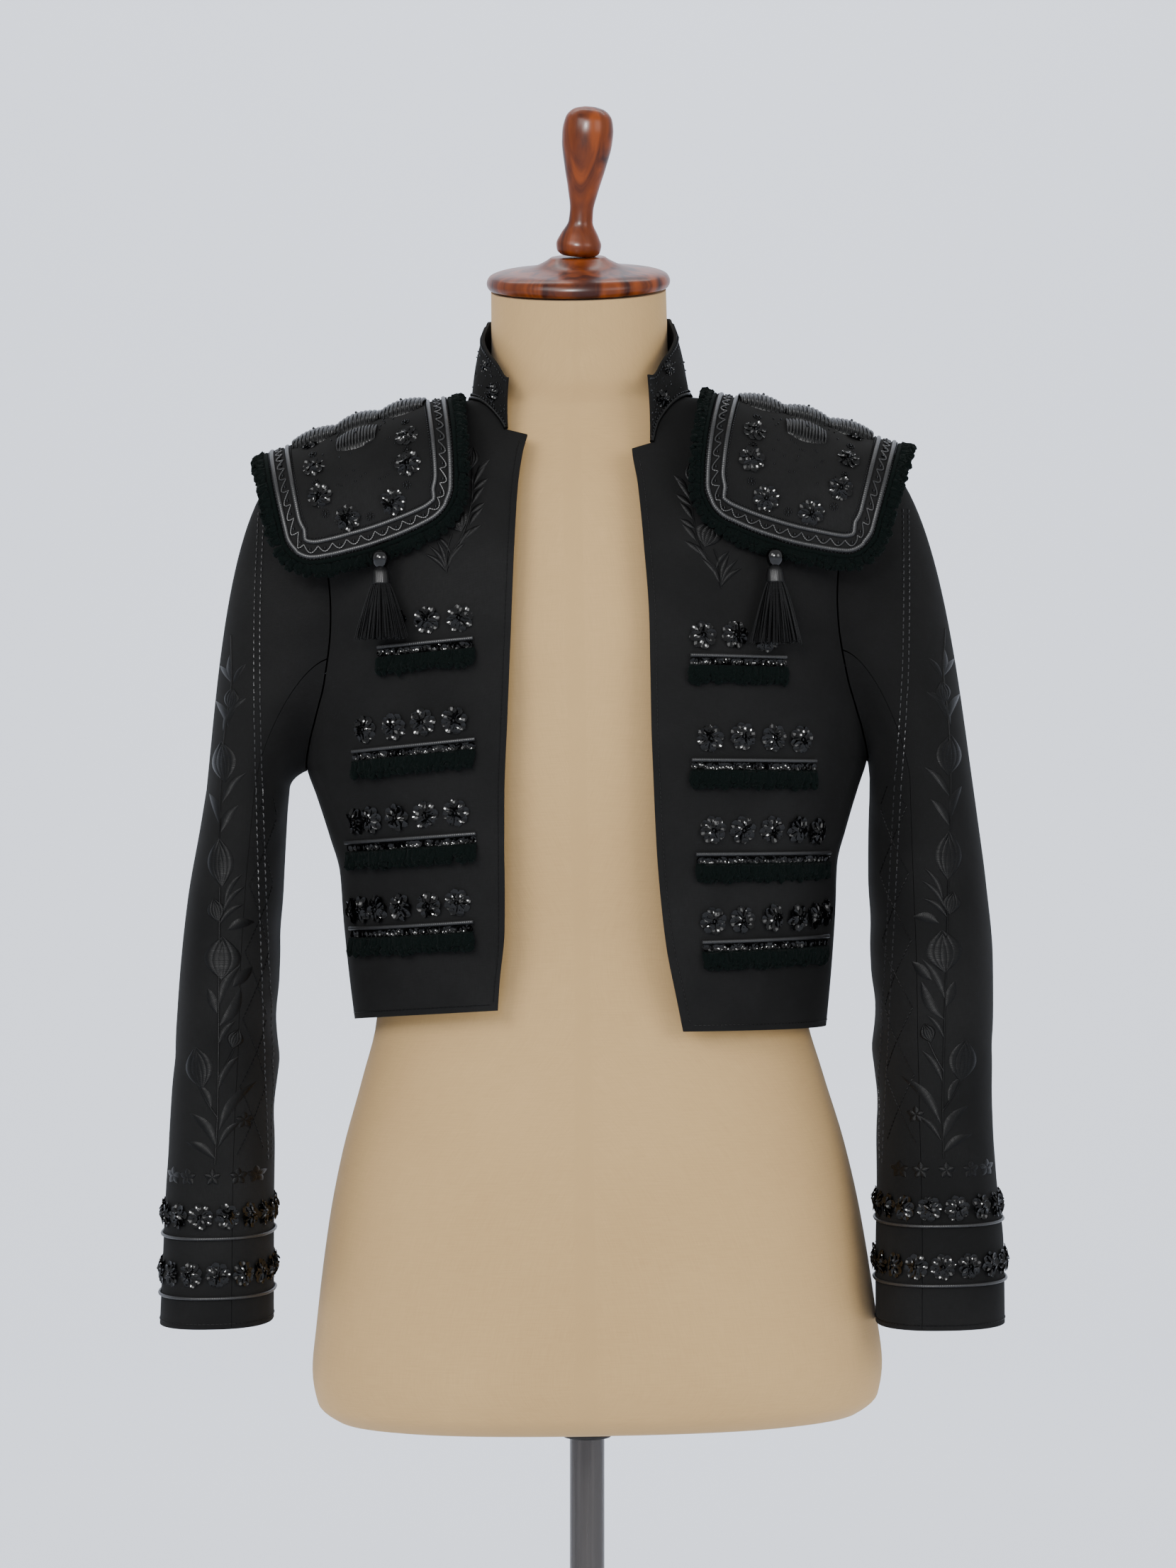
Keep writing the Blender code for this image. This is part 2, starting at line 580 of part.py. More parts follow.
def braid_bar(name, side, inner_x, inner_height, outer_x, outer_height):
    share = np.linspace(0, 1, BRAID_CELLS + 1)
    across = inner_x + (outer_x - inner_x) * share
    height = inner_height + (outer_height - inner_height) * share
    angle = side * around_at(across, height)
    top = jacket_point(angle, height)
    foot_height = height - BRAID_BAND
    low = jacket_point(side * around_at(across, foot_height), foot_height)
    tangent = np.gradient(top, axis=0)
    down = unit(low - top)
    outward = unit(np.cross(down, tangent)) * side
    cord = outward * BRAID_CORD_PROUD
    band = outward * BRAID_BAND_PROUD
    base = top + outward * BRAID_LIFT
    foot = low + outward * BRAID_LIFT
    step = base + (foot - base) * BRAID_CORD_SHARE
    corners = [base, base + cord, step + cord, foot + band, foot]
    profile = np.stack(corners, axis=1)
    loops = down * BRAID_LOOP + outward * BRAID_LOOP_PROUD
    vertices, faces = looped_strip(profile, loops, False)
    new_object(name, vertices, faces, *CHENILLE)


def plate_half_depth(along_plate):
    return PLATE_HALF_DEPTH[0] + (PLATE_HALF_DEPTH[1] - PLATE_HALF_DEPTH[0]) * (along_plate + 1) / 2


def plate_surface(side, along_plate, round_plate):
    """Point on a shoulder piece: along -1 neck end to 1 outer end, round 1 front edge to -1 back edge."""
    power = 2 / PLATE_SQUARENESS
    level = np.sign(round_plate) * (1 - np.abs(np.cos(round_plate * math.pi / 2)) ** power)
    u = along_plate * np.sqrt(1 - PLATE_CORNER * level ** 2 / 2)
    level = level * np.sqrt(1 - PLATE_CORNER * along_plate ** 2 / 2)
    cosine = (1 - np.abs(level)) ** (1 / power)
    angle = np.arccos(cosine)
    swing = PLATE_SWING[side] * (angle * 2 / math.pi) ** PLATE_SWING_POWER
    across = PLATE_MIDDLE[side] - swing + PLATE_HALF_LENGTH * u
    ridge = np.interp(across, SHOULDER_RIDGE["across"], SHOULDER_RIDGE["height"])
    y = PLATE_DEPTH_CENTRE - plate_half_depth(u) * np.sign(level) * np.sin(angle) ** power
    z = ridge + PLATE_LIFT + PLATE_THICKNESS - PLATE_DROP[side] * np.abs(level)
    return np.stack([side * across, y, z], axis=-1)


PLATE_ALONG = np.array([-1, -0.88, -0.72, -0.5, -0.25, 0.02, 0.27, 0.52, 0.72, 0.88, 1])
PLATE_ROUND = np.array([-1, -0.97, -0.90, -0.78, -0.60, -0.40, -0.22, -0.1, -0.03,
                        0.03, 0.1, 0.22, 0.34, 0.46, 0.62, 0.78, 0.90, 0.97, 1])


def plate_relief():
    """Height of the raised border and of the coiled flowers over the plate."""
    u = PLATE_ALONG[None, :]
    w = PLATE_ROUND[:, None]
    edge = np.maximum(np.abs(u), np.abs(w) * 0.98)
    relief = PLATE_BORDER_RIDGE * np.exp(-((edge - 0.88) / 0.08) ** 2)
    for across, level, size, tall in zip(*PLATE_MOUNDS.values()):
        spread = ((u - across) / size) ** 2 + ((w - level) / (size * 0.65)) ** 2
        relief = relief + tall * np.exp(-spread)
    return relief


def shoulder_piece(side):
    name = "epaulette_right" if side < 0 else "epaulette_left"
    surface = plate_surface(side, PLATE_ALONG[None, :], PLATE_ROUND[:, None])
    normal = unit(np.cross(np.gradient(surface, axis=0), np.gradient(surface, axis=1))) * side
    outer = surface + normal * plate_relief()[..., None]
    vertices, faces = shell_solid(outer, surface - normal * PLATE_THICKNESS)
    new_object(name, vertices, faces, *CLOTH)

    def loop(grid):
        return np.concatenate([grid[-1, :-1], grid[::-1, -1][:-1], grid[0, ::-1][:-1], grid[:, 0][:-1]])

    edge = loop(surface)
    normals = loop(normal)
    u, w = np.meshgrid(PLATE_ALONG, PLATE_ROUND)
    neckward = np.clip(1 - (1 + loop(u[..., None])[:, 0]) / NECK_SHARE, 0, 1)
    tangent = unit(np.roll(edge, -1, axis=0) - np.roll(edge, 1, axis=0))
    outward = unit(np.cross(tangent, normals))
    centre = surface.reshape(-1, 3).mean(axis=0)
    outward = outward * np.sign(np.sum(outward * (edge - centre), axis=1))[:, None]
    start = edge + outward * CORD_GAP
    end = start + outward * CORD_WIDTH
    rise = normals * CORD_RISE
    sink = normals * -CORD_SINK
    profile = np.stack([start + sink, start + rise, end + rise, end + sink], axis=1)
    length = PLATE_FRINGE + (PLATE_FRINGE_NECK - PLATE_FRINGE) * neckward
    vertices, faces = looped_strip(profile, outward * length[:, None], True)
    new_object(name + "_fringe", vertices, faces, *CHENILLE)


def revolved(name, profile, sides, look, place):
    """A turned piece: the profile's radius and height pairs run from the bottom to the top."""
    vertices = []
    for radius, height in profile:
        for k in range(sides):
            angle = 2 * math.pi * k / sides
            vertices.append((radius * math.cos(angle), radius * math.sin(angle), height))
    faces = []
    for i in range(len(profile) - 1):
        for k in range(sides):
            m = (k + 1) % sides
            faces.append((i * sides + k, i * sides + m, (i + 1) * sides + m, (i + 1) * sides + k))
    faces.append(tuple(reversed(range(sides))))
    last = (len(profile) - 1) * sides
    faces.append(tuple(last + k for k in range(sides)))
    obj = new_object(name, vertices, faces, *look)
    obj.matrix_world = place
    return obj


def tassel(name, side, across, set_back, top, length):
    """A bead and bound neck over a skirt of strands, hanging from the shoulder piece's edge."""
    half = plate_half_depth((across + PLATE_SWING[side] - PLATE_MIDDLE[side]) / PLATE_HALF_LENGTH)
    middle = PLATE_DEPTH_CENTRE - half - TASSEL_HEAD_RADIUS - TASSEL_CLEARANCE + set_back
    sides = 16
    head = [(0.0016, 0.0), (0.0048, -0.0018), (0.0060, -0.0055), (0.0048, -0.0100),
            (0.0034, -0.0120), (0.0062, -0.0170), (0.0080, -0.0220)]
    vertices = []
    for radius, drop in head:
        for k in range(sides):
            angle = 2 * math.pi * k / sides
            spot = (radius * math.cos(angle), radius * math.sin(angle), drop)
            vertices.append(spot)
    faces = [tuple(range(sides))]
    for i in range(len(head) - 1):
        for k in range(sides):
            m = (k + 1) % sides
            faces.append((i * sides + k, i * sides + m, (i + 1) * sides + m, (i + 1) * sides + k))
    rim = (len(head) - 1) * sides
    core = len(vertices)
    for k in range(sides):
        angle = 2 * math.pi * k / sides
        vertices.append((TASSEL_CORE * math.cos(angle), TASSEL_CORE * math.sin(angle), head[-1][1]))
    for k in range(sides):
        m = (k + 1) % sides
        root = (rim + k, rim + m, core + m, core + k)
        if k % 2:
            faces.append(root)
            continue
        first = len(vertices)
        for index, spread in zip(root, (1, 1, 0, 0)):
            x, y, z = vertices[index]
            radius = TASSEL_FLARE if spread else TASSEL_FLARE * TASSEL_HOLLOW
            scale = radius / math.hypot(x, y)
            vertices.append((x * scale, y * scale * TASSEL_FLATNESS - TASSEL_LAY * length, -length))
        for n in range(4):
            o = (n + 1) % 4
            faces.append((root[n], root[o], first + o, first + n))
        faces.append(tuple(first + n for n in range(4)))
    faces.append(tuple(core + k for k in range(sides)))
    obj = new_object(name, vertices, faces, *SILK)
    obj.location = (side * across, middle, top)
    return obj


def form_torso():
    """The linen covered torso with its neck, whose top slants down to the front."""
    sides = 20
    around = np.arange(sides) * 360.0 / sides
    rings = [body_point(FORM, around, level) for level in FORM["height"]]
    angle = np.radians(around)
    depth = NECK_TOP_CENTRE - NECK_RADIUS * np.cos(angle)
    top = np.stack([NECK_RADIUS * np.sin(angle), depth, 0 * angle], axis=-1)
    top[:, 2] = NECK_TOP_HEIGHT + (top[:, 1] - NECK_TOP_CENTRE) * math.tan(math.radians(NECK_TOP_SLANT))
    rings.append(top)
    vertices = np.concatenate(rings)
    faces = []
    for i in range(len(rings) - 1):
        for k in range(sides):
            m = (k + 1) % sides
            faces.append((i * sides + k, i * sides + m, (i + 1) * sides + m, (i + 1) * sides + k))
    faces.append(tuple(reversed(range(sides))))
    last = (len(rings) - 1) * sides
    faces.append(tuple(last + k for k in range(sides)))
    return new_object("form_torso", vertices, faces, *LINEN)


def stand_and_wood():
    """Neck cap and finial on the form, and the ferrule, pole and base under it."""
    slant = Matrix.Rotation(math.radians(NECK_TOP_SLANT), 4, "X")
    seat = Matrix.Translation((0, NECK_TOP_CENTRE, NECK_TOP_HEIGHT)) @ slant
    cap = [(0.0560, 0.0003), (0.0625, 0.0020), (0.0643, 0.0062), (0.0625, 0.0106), (0.0560, 0.0134),
           (0.0440, 0.0150), (0.0320, 0.0170), (0.0225, 0.0212), (0.0190, CAP_HEIGHT)]
    revolved("neck_cap", cap, 24, WOOD, seat)
    lean = Matrix.Rotation(math.radians(FINIAL_LEAN), 4, "Y")
    finial_seat = seat @ Matrix.Translation((0, 0, CAP_HEIGHT + CAP_GAP)) @ lean
    finial = [(0.0120, 0.0003), (0.0150, 0.0030), (0.0158, 0.0080), (0.0130, 0.0150), (0.0085, 0.0240),
              (0.0082, 0.0320), (0.0105, 0.0450), (0.0145, 0.0620), (0.0175, 0.0780), (0.0178, 0.0860),
              (0.0160, 0.0960), (0.0100, 0.1020), (0.0040, 0.1035)]
    revolved("finial", finial, 16, WOOD, finial_seat)


def build():
    for obj in list(bpy.data.objects):
        bpy.data.objects.remove(obj, do_unlink=True)
    axis = bpy.data.objects.new("form_axis", None)
    bpy.context.scene.collection.objects.link(axis)
    axis.location = (0, 0, LEAN_PIVOT_HEIGHT)
    axis.rotation_euler = (0, -math.radians(FORM_LEAN), 0)

    form_torso()
    stand_and_wood()
    back_panel()
    stand_collar()
    for side in (-1, 1):
        front_panel(side)
        sleeve(side)
        shoulder_piece(side)
        name = "right" if side < 0 else "left"
        cuff_piping(side, PIPING_HEIGHT, "cuff_piping_" + name)
    counts = {-1: 0, 1: 0}
    for side, *ends in zip(*BRAIDS.values()):
        side = int(side)
        counts[side] += 1
        name = "braid_right_" if side < 0 else "braid_left_"
        braid_bar(name + str(counts[side]), side, *ends)
    for side, *place in zip(*TASSELS.values()):
        tassel("tassel_right" if side < 0 else "tassel_left", int(side), *place)

    bpy.context.view_layer.update()
    back_to_floor = Matrix.Translation((0, 0, -LEAN_PIVOT_HEIGHT))
    for obj in list(bpy.context.scene.objects):
        if obj.type == "MESH":
            obj.parent = axis
            obj.matrix_parent_inverse = back_to_floor

    upright = Matrix.Identity(4)
    base = [(BASE_RADIUS - 0.0200, 0.0), (BASE_RADIUS - 0.0050, 0.0), (BASE_RADIUS, 0.0040),
            (BASE_RADIUS - 0.0020, 0.0085), (0.1400, 0.0120), (0.0500, 0.0160), (0.0220, BASE_HEIGHT)]
    revolved("base", base, 32, IRON, upright)
    ferrule_top = FORM_BOTTOM - FERRULE_GAP
    ferrule_bottom = ferrule_top - FERRULE_HEIGHT
    pole = [(POLE_RADIUS, BASE_HEIGHT + METAL_GAP), (POLE_RADIUS, ferrule_bottom - METAL_GAP)]
    revolved("pole", pole, 20, STEEL, upright)
    ferrule = [(FERRULE_RADIUS, ferrule_bottom), (FERRULE_RADIUS, ferrule_top)]
    revolved("ferrule", ferrule, 20, IRON, upright)


build()
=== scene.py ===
# Looks of a matador jacket on its dress form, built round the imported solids.
# Metres, Z up. The front faces -Y and the wearer's left is +X.
# Each piece is worked out upright and then leaned by the form's one degree, as the solids are.
import math
from functools import partial

import bpy
import numpy as np
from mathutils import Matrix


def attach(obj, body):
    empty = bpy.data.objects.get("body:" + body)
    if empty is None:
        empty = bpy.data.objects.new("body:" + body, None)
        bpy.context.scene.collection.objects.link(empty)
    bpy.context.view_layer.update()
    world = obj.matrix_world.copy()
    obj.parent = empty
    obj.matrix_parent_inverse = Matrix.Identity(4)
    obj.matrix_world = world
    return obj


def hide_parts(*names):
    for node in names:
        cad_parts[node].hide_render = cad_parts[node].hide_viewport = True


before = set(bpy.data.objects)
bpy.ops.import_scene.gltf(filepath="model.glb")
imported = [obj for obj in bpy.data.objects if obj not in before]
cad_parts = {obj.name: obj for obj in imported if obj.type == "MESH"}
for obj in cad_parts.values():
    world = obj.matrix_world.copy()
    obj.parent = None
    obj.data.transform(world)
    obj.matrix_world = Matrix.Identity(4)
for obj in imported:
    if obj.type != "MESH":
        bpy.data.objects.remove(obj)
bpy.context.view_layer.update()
print("frame loaded:", len(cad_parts), "solids")

chance = np.random.default_rng(11)
full = 2 * math.pi
stance = {"lean": 1.0, "pivotHeight": 0.9045}  # degrees, and the height that stays put


# Tables, curves and vectors

def columns(names, rows):
    return dict(zip(names.split(), np.array(rows, float).T))


def curveThrough(table, name, at):
    # cubic through one column with harmonic slopes, so that it never overshoots a row
    x = table[list(table)[0]]
    y = table[name]
    step = np.diff(x)
    rise = np.diff(y) / step
    slope = np.zeros(len(x))
    both = rise[:-1] * rise[1:]
    total = rise[:-1] + rise[1:]
    slope[1:-1] = np.where(both > 0, 2 * both / np.where(total == 0, 1, total), 0)
    slope[0] = rise[0]
    slope[-1] = rise[-1]
    at = np.clip(np.asarray(at, float), x[0], x[-1])
    i = np.clip(np.searchsorted(x, at) - 1, 0, len(step) - 1)
    t = (at - x[i]) / step[i]
    start = (1 + 2 * t) * (1 - t) ** 2 * y[i] + t * (1 - t) ** 2 * step[i] * slope[i]
    return start + t * t * (3 - 2 * t) * y[i + 1] + t * t * (t - 1) * step[i] * slope[i + 1]


def unit(vectors):
    return vectors / np.maximum(np.linalg.norm(vectors, axis=-1, keepdims=True), 1e-12)


def leaned(points):
    # turn about Y through the pivot height by the form's lean
    angle = math.radians(stance["lean"])
    x = points[..., 0]
    z = points[..., 2] - stance["pivotHeight"]
    out = points.copy()
    out[..., 0] = x * math.cos(angle) - z * math.sin(angle)
    out[..., 2] = stance["pivotHeight"] + x * math.sin(angle) + z * math.cos(angle)
    return out


def normalsOf(surface, first, second, step):
    # cross product of the surface's slopes along its two parameters
    alongFirst = surface(first + step[0], second) - surface(first - step[0], second)
    alongSecond = surface(first, second + step[1]) - surface(first, second - step[1])
    return unit(np.cross(alongFirst, alongSecond))


def gridFaces(rows, cols, closed=False):
    # the quads of a grid; closed joins the last column to the first
    i = np.arange(rows - 1)[:, None]
    j = np.arange(cols if closed else cols - 1)[None, :]
    k = (j + 1) % cols
    return np.stack([i * cols + j, i * cols + k, (i + 1) * cols + k, (i + 1) * cols + j], -1).reshape(-1, 4)


def enclosed(points, faceSets):
    # six times the volume inside the faces, negative where they point inwards
    total = 0.0
    for faces in faceSets:
        corner = points[faces]
        for n in range(1, faces.shape[1] - 1):
            total += np.sum(corner[:, 0] * np.cross(corner[:, n], corner[:, n + 1]))
    return total


def addPiece(name, points, faceSets, material, uv=None, replaces=(), upright=False):
    # one mesh from whole arrays; faceSets holds an array of faces for each number of corners
    points = np.asarray(points, float).reshape(-1, 3)
    if not upright:
        points = leaned(points)
    faceSets = [np.asarray(f) for f in faceSets if len(f)]
    if enclosed(points, faceSets) < 0:
        faceSets = [f[:, ::-1] for f in faceSets]
    corners = np.concatenate([f.ravel() for f in faceSets]).astype(np.int32)
    sizes = np.concatenate([np.full(len(f), f.shape[1]) for f in faceSets])
    starts = np.concatenate([[0], np.cumsum(sizes)[:-1]]).astype(np.int32)
    mesh = bpy.data.meshes.new(name)
    mesh.vertices.add(len(points))
    mesh.vertices.foreach_set("co", points.astype(np.float32).ravel())
    mesh.loops.add(len(corners))
    mesh.loops.foreach_set("vertex_index", corners)
    mesh.polygons.add(len(starts))
    mesh.polygons.foreach_set("loop_start", starts)
    if uv is not None:
        layer = mesh.uv_layers.new(name="cloth")
        layer.data.foreach_set("uv", np.asarray(uv, np.float32).reshape(-1, 2)[corners].ravel())
    mesh.update(calc_edges=True)
    mesh.shade_smooth()
    mesh.set_sharp_from_angle(angle=math.radians(50))
    mesh.materials.append(material)
    piece = bpy.data.objects.new(name, mesh)
    bpy.context.scene.collection.objects.link(piece)
    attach(piece, "root")
    if replaces:
        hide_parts(*replaces)
    return piece


def measured(grid):
    # distance along the rows and up the columns of a grid, in metres, as a UV map
    across = np.linalg.norm(np.diff(grid, axis=1), axis=-1)
    up = np.linalg.norm(np.diff(grid, axis=0), axis=-1)
    u = np.concatenate([np.zeros((len(grid), 1)), np.cumsum(across, axis=1)], axis=1)
    v = np.concatenate([np.zeros((1, grid.shape[1])), np.cumsum(up, axis=0)], axis=0)
    return np.stack([u - u.mean(axis=1, keepdims=True), v], -1)


def clothShell(name, outer, normals, thickness, material, replaces):
    # closed wall between a grid and the same grid moved in by the cloth's thickness
    rows, cols = outer.shape[:2]
    shift = rows * cols
    face = gridFaces(rows, cols)
    rim = np.concatenate([np.arange(cols), np.arange(1, rows) * cols + cols - 1,
                          (rows - 1) * cols + np.arange(cols - 2, -1, -1), np.arange(rows - 2, 0, -1) * cols])
    after = np.roll(rim, -1)
    edge = np.stack([after, rim, shift + rim, shift + after], -1)
    points = np.concatenate([outer.reshape(-1, 3), (outer - normals * thickness).reshape(-1, 3)])
    flat = measured(outer).reshape(-1, 2)
    faces = np.concatenate([face, face[:, ::-1] + shift, edge])
    return addPiece(name, points, [faces], material, np.concatenate([flat, flat]), replaces)


def tubes(paths, outward, radius, sides=8, closed=False, flatness=1.0):
    # rings of points round each path: radius * (cos * sideways + sin * outward * flatness)
    paths = np.asarray(paths, float)
    if paths.ndim == 2:
        paths = paths[None]
        outward = np.asarray(outward)[None]
    count, stations = paths.shape[:2]
    if closed:
        tangent = unit(np.roll(paths, -1, axis=1) - np.roll(paths, 1, axis=1))
    else:
        tangent = unit(np.gradient(paths, axis=1))
    sideways = unit(np.cross(tangent, outward))
    upward = unit(np.cross(sideways, tangent))
    radius = np.broadcast_to(np.asarray(radius, float), (count, stations))[..., None, None]
    turn = (np.arange(sides) * full / sides)[None, None, :, None]
    ring = paths[:, :, None] + radius * (np.cos(turn) * sideways[:, :, None]
                                         + np.sin(turn) * flatness * upward[:, :, None])
    lengths = np.linalg.norm(np.diff(paths, axis=1), axis=-1)
    run = np.concatenate([np.zeros((count, 1)), np.cumsum(lengths, axis=1)], axis=1)
    uv = np.stack(np.broadcast_arrays(run[..., None], (np.arange(sides) / sides)[None, None]), -1)
    grid = gridFaces(stations, sides, True)
    if closed:
        first = np.arange(sides)
        last = (stations - 1) * sides + first
        grid = np.concatenate([grid, np.stack([last, np.roll(last, -1), np.roll(first, -1), first], -1)])
    shift = (np.arange(count) * stations * sides)[:, None, None]
    faceSets = [(grid[None] + shift).reshape(-1, 4)]
    if not closed:
        cap = np.stack([np.arange(sides)[::-1], (stations - 1) * sides + np.arange(sides)])
        faceSets.append((cap[None] + shift).reshape(-1, sides))
    return ring.reshape(-1, 3), faceSets, uv.reshape(-1, 2)


def joined(parts):
    # several (points, faceSets, uv) made one; faces with the same number of corners share a set
    points = []
    uvs = []
    bySize = {}
    shift = 0
    for partPoints, faceSets, uv in parts:
        points.append(partPoints)
        uvs.append(uv)
        for faces in faceSets:
            bySize.setdefault(faces.shape[1], []).append(faces + shift)
        shift += len(partPoints)
    return np.concatenate(points), [np.concatenate(f) for f in bySize.values()], np.concatenate(uvs)


def copies(shape, centres, frames, sizes):
    # one small shape set down many times: centre + frame * (size * point)
    points, faceSets, uv = shape
    centres = np.asarray(centres, float).reshape(-1, 3)
    sizes = np.broadcast_to(np.asarray(sizes, float).reshape(-1, 1) if np.ndim(sizes) == 1 else sizes,
                            (len(centres), 3))
    scaled = points[None] * sizes[:, None]
    placed = centres[:, None] + np.einsum("nij,nmj->nmi", frames, scaled)
    shift = (np.arange(len(centres)) * len(points))[:, None, None]
    sets = [(f[None] + shift).reshape(-1, f.shape[1]) for f in faceSets]
    return placed.reshape(-1, 3), sets, np.tile(uv, (len(centres), 1))


def bead(rings=3, sides=6):
    # a ball of unit radius: circles of latitude with a closing face at each pole
    lift = (np.arange(rings) + 0.5) / rings * math.pi
    turn = np.arange(sides) * full / sides
    points = np.stack(np.broadcast_arrays(np.sin(lift)[:, None] * np.cos(turn),
                                          np.sin(lift)[:, None] * np.sin(turn),
                                          -np.cos(lift)[:, None]), -1).reshape(-1, 3)
    last = (rings - 1) * sides + np.arange(sides)
    caps = np.stack([np.arange(sides)[::-1], last])
    uv = points[:, :2] * 0.5
    return points, [gridFaces(rings, sides, True), caps], uv


def turnedShape(profile, sides, dense=5):
    # a lathe profile of radius and height, smoothed between its rows and swept round the axis
    rows = np.array(profile, float)
    at = np.linspace(0, len(rows) - 1, (len(rows) - 1) * dense + 1)
    table = {"row": np.arange(len(rows), dtype=float), "radius": rows[:, 0], "height": rows[:, 1]}
    radius = curveThrough(table, "radius", at)
    height = curveThrough(table, "height", at)
    turn = np.arange(sides) * full / sides
    points = np.stack(np.broadcast_arrays(radius[:, None] * np.cos(turn), radius[:, None] * np.sin(turn),
                                          height[:, None]), -1)
    uv = np.stack(np.broadcast_arrays(turn / full, height[:, None]), -1)
    last = (len(at) - 1) * sides + np.arange(sides)
    caps = np.stack([np.arange(sides)[::-1], last])
    return points.reshape(-1, 3), [gridFaces(len(at), sides, True), caps], uv.reshape(-1, 2)


# Node groups and materials

def node(tree, kind, inputs=None, **settings):
    made = tree.nodes.new(kind)
    for key, value in settings.items():
        setattr(made, key, value)
    for key, value in (inputs or {}).items():
        if isinstance(value, bpy.types.NodeSocket):
            tree.links.new(value, made.inputs[key])
        else:
            made.inputs[key].default_value = value
    return made


def newGroup(name, inputs, outputs):
    group = bpy.data.node_groups.new(name, "ShaderNodeTree")
    for title, kind, value in inputs:
        socket = group.interface.new_socket(title, in_out="INPUT", socket_type=kind)
        if value is not None:
            socket.default_value = value
    for title, kind in outputs:
        group.interface.new_socket(title, in_out="OUTPUT", socket_type=kind)
    return group, group.nodes.new("NodeGroupInput"), group.nodes.new("NodeGroupOutput")


def wovenGroup():
    # threads along and across: two noises, each stretched along one direction of the cloth
    number = "NodeSocketFloat"
    group, given, result = newGroup("wovenThreads",
                                    [("Place", "NodeSocketVector", None), ("Threads", number, 900.0),
                                                     ("Slub", number, 0.12)],
                                    [("Height", number), ("Tone", number)])
    scaled = node(group, "ShaderNodeVectorMath", {0: given.outputs["Place"]}, operation="SCALE")
    group.links.new(given.outputs["Threads"], scaled.inputs["Scale"])
    split = node(group, "ShaderNodeSeparateXYZ", {0: scaled.outputs[0]})
    slub = given.outputs["Slub"]
    heights = []
    for fine, long in (("X", "Y"), ("Y", "X")):
        drawn = node(group, "ShaderNodeMath", {0: split.outputs[long], 1: slub}, operation="MULTIPLY")
        spot = node(group, "ShaderNodeCombineXYZ", {fine: split.outputs[fine], long: drawn.outputs[0]})
        noise = node(group, "ShaderNodeTexNoise", {"Vector": spot.outputs[0], "Scale": 1.0, "Detail": 2.0})
        heights.append(noise.outputs[0])
    both = node(group, "ShaderNodeMath", {0: heights[0], 1: heights[1]}, operation="ADD")
    half = node(group, "ShaderNodeMath", {0: both.outputs[0], 1: 0.5}, operation="MULTIPLY")
    group.links.new(half.outputs[0], result.inputs["Height"])
    group.links.new(half.outputs[0], result.inputs["Tone"])
    return group


def cloudGroup():
    # soft uneven patches, as dust, handling and dye leave them
    number = "NodeSocketFloat"
    group, given, result = newGroup("softClouds",
                                    [("Place", "NodeSocketVector", None), ("Size", number, 12.0),
                                                   ("Low", number, 0.35), ("High", number, 0.65)],
                                    [("Mask", number)])
    noise = node(group, "ShaderNodeTexNoise",
                 {"Vector": given.outputs["Place"], "Scale": given.outputs["Size"],
                                               "Detail": 4.0})
    spread = node(group, "ShaderNodeMapRange", {"Value": noise.outputs[0], "From Min": given.outputs["Low"],
                                                "From Max": given.outputs["High"]})
    group.links.new(spread.outputs[0], result.inputs["Mask"])
    return group


def strandGroup():
    # fine strands laid side by side: bands across one direction, broken up by noise along it
    number = "NodeSocketFloat"
    group, given, result = newGroup("laidStrands",
                                    [("Place", "NodeSocketVector", None), ("Strands", number, 2200.0),
                                                    ("Slant", number, 0.0)],
                                    [("Height", number), ("Tone", number)])
    split = node(group, "ShaderNodeSeparateXYZ", {0: given.outputs["Place"]})
    tilt = node(group, "ShaderNodeMath", {0: split.outputs["Y"], 1: given.outputs["Slant"]},
                operation="MULTIPLY")
    across = node(group, "ShaderNodeMath", {0: split.outputs["X"], 1: tilt.outputs[0]}, operation="ADD")
    fine = node(group, "ShaderNodeMath", {0: across.outputs[0], 1: given.outputs["Strands"]},
                operation="MULTIPLY")
    wave = node(group, "ShaderNodeMath", {0: fine.outputs[0]}, operation="SINE")
    spot = node(group, "ShaderNodeCombineXYZ", {"X": fine.outputs[0], "Y": split.outputs["Y"]})
    noise = node(group, "ShaderNodeTexNoise", {"Vector": spot.outputs[0], "Scale": 0.35, "Detail": 2.0})
    shown = node(group, "ShaderNodeMapRange", {"Value": wave.outputs[0], "From Min": -1.0, "From Max": 1.0})
    both = node(group, "ShaderNodeMath", {0: shown.outputs[0], 1: noise.outputs[0]}, operation="MULTIPLY")
    group.links.new(both.outputs[0], result.inputs["Height"])
    group.links.new(noise.outputs[0], result.inputs["Tone"])
    return group


groups = {"woven": wovenGroup(), "clouds": cloudGroup(), "strands": strandGroup()}


def grouped(tree, kind, place, **values):
    made = node(tree, "ShaderNodeGroup", node_tree=groups[kind])
    tree.links.new(place, made.inputs["Place"])
    for key, value in values.items():
        made.inputs[key].default_value = value
    return made


def newMaterial(name, roughness, **sockets):
    material = bpy.data.materials.new(name)
    material.use_nodes = True
    tree = material.node_tree
    shader = tree.nodes["Principled BSDF"]
    shader.inputs["Roughness"].default_value = roughness
    for key, value in sockets.items():
        shader.inputs[key.replace("_", " ")].default_value = value
    coordinates = tree.nodes.new("ShaderNodeTexCoord")
    return material, tree, shader, coordinates


def tinted(tree, shader, factor, dark, light, socket="Base Color"):
    mix = node(tree, "ShaderNodeMix", {"Factor": factor}, data_type="RGBA")
    mix.inputs[6].default_value = (*dark, 1)
    mix.inputs[7].default_value = (*light, 1)
    tree.links.new(mix.outputs[2], shader.inputs[socket])


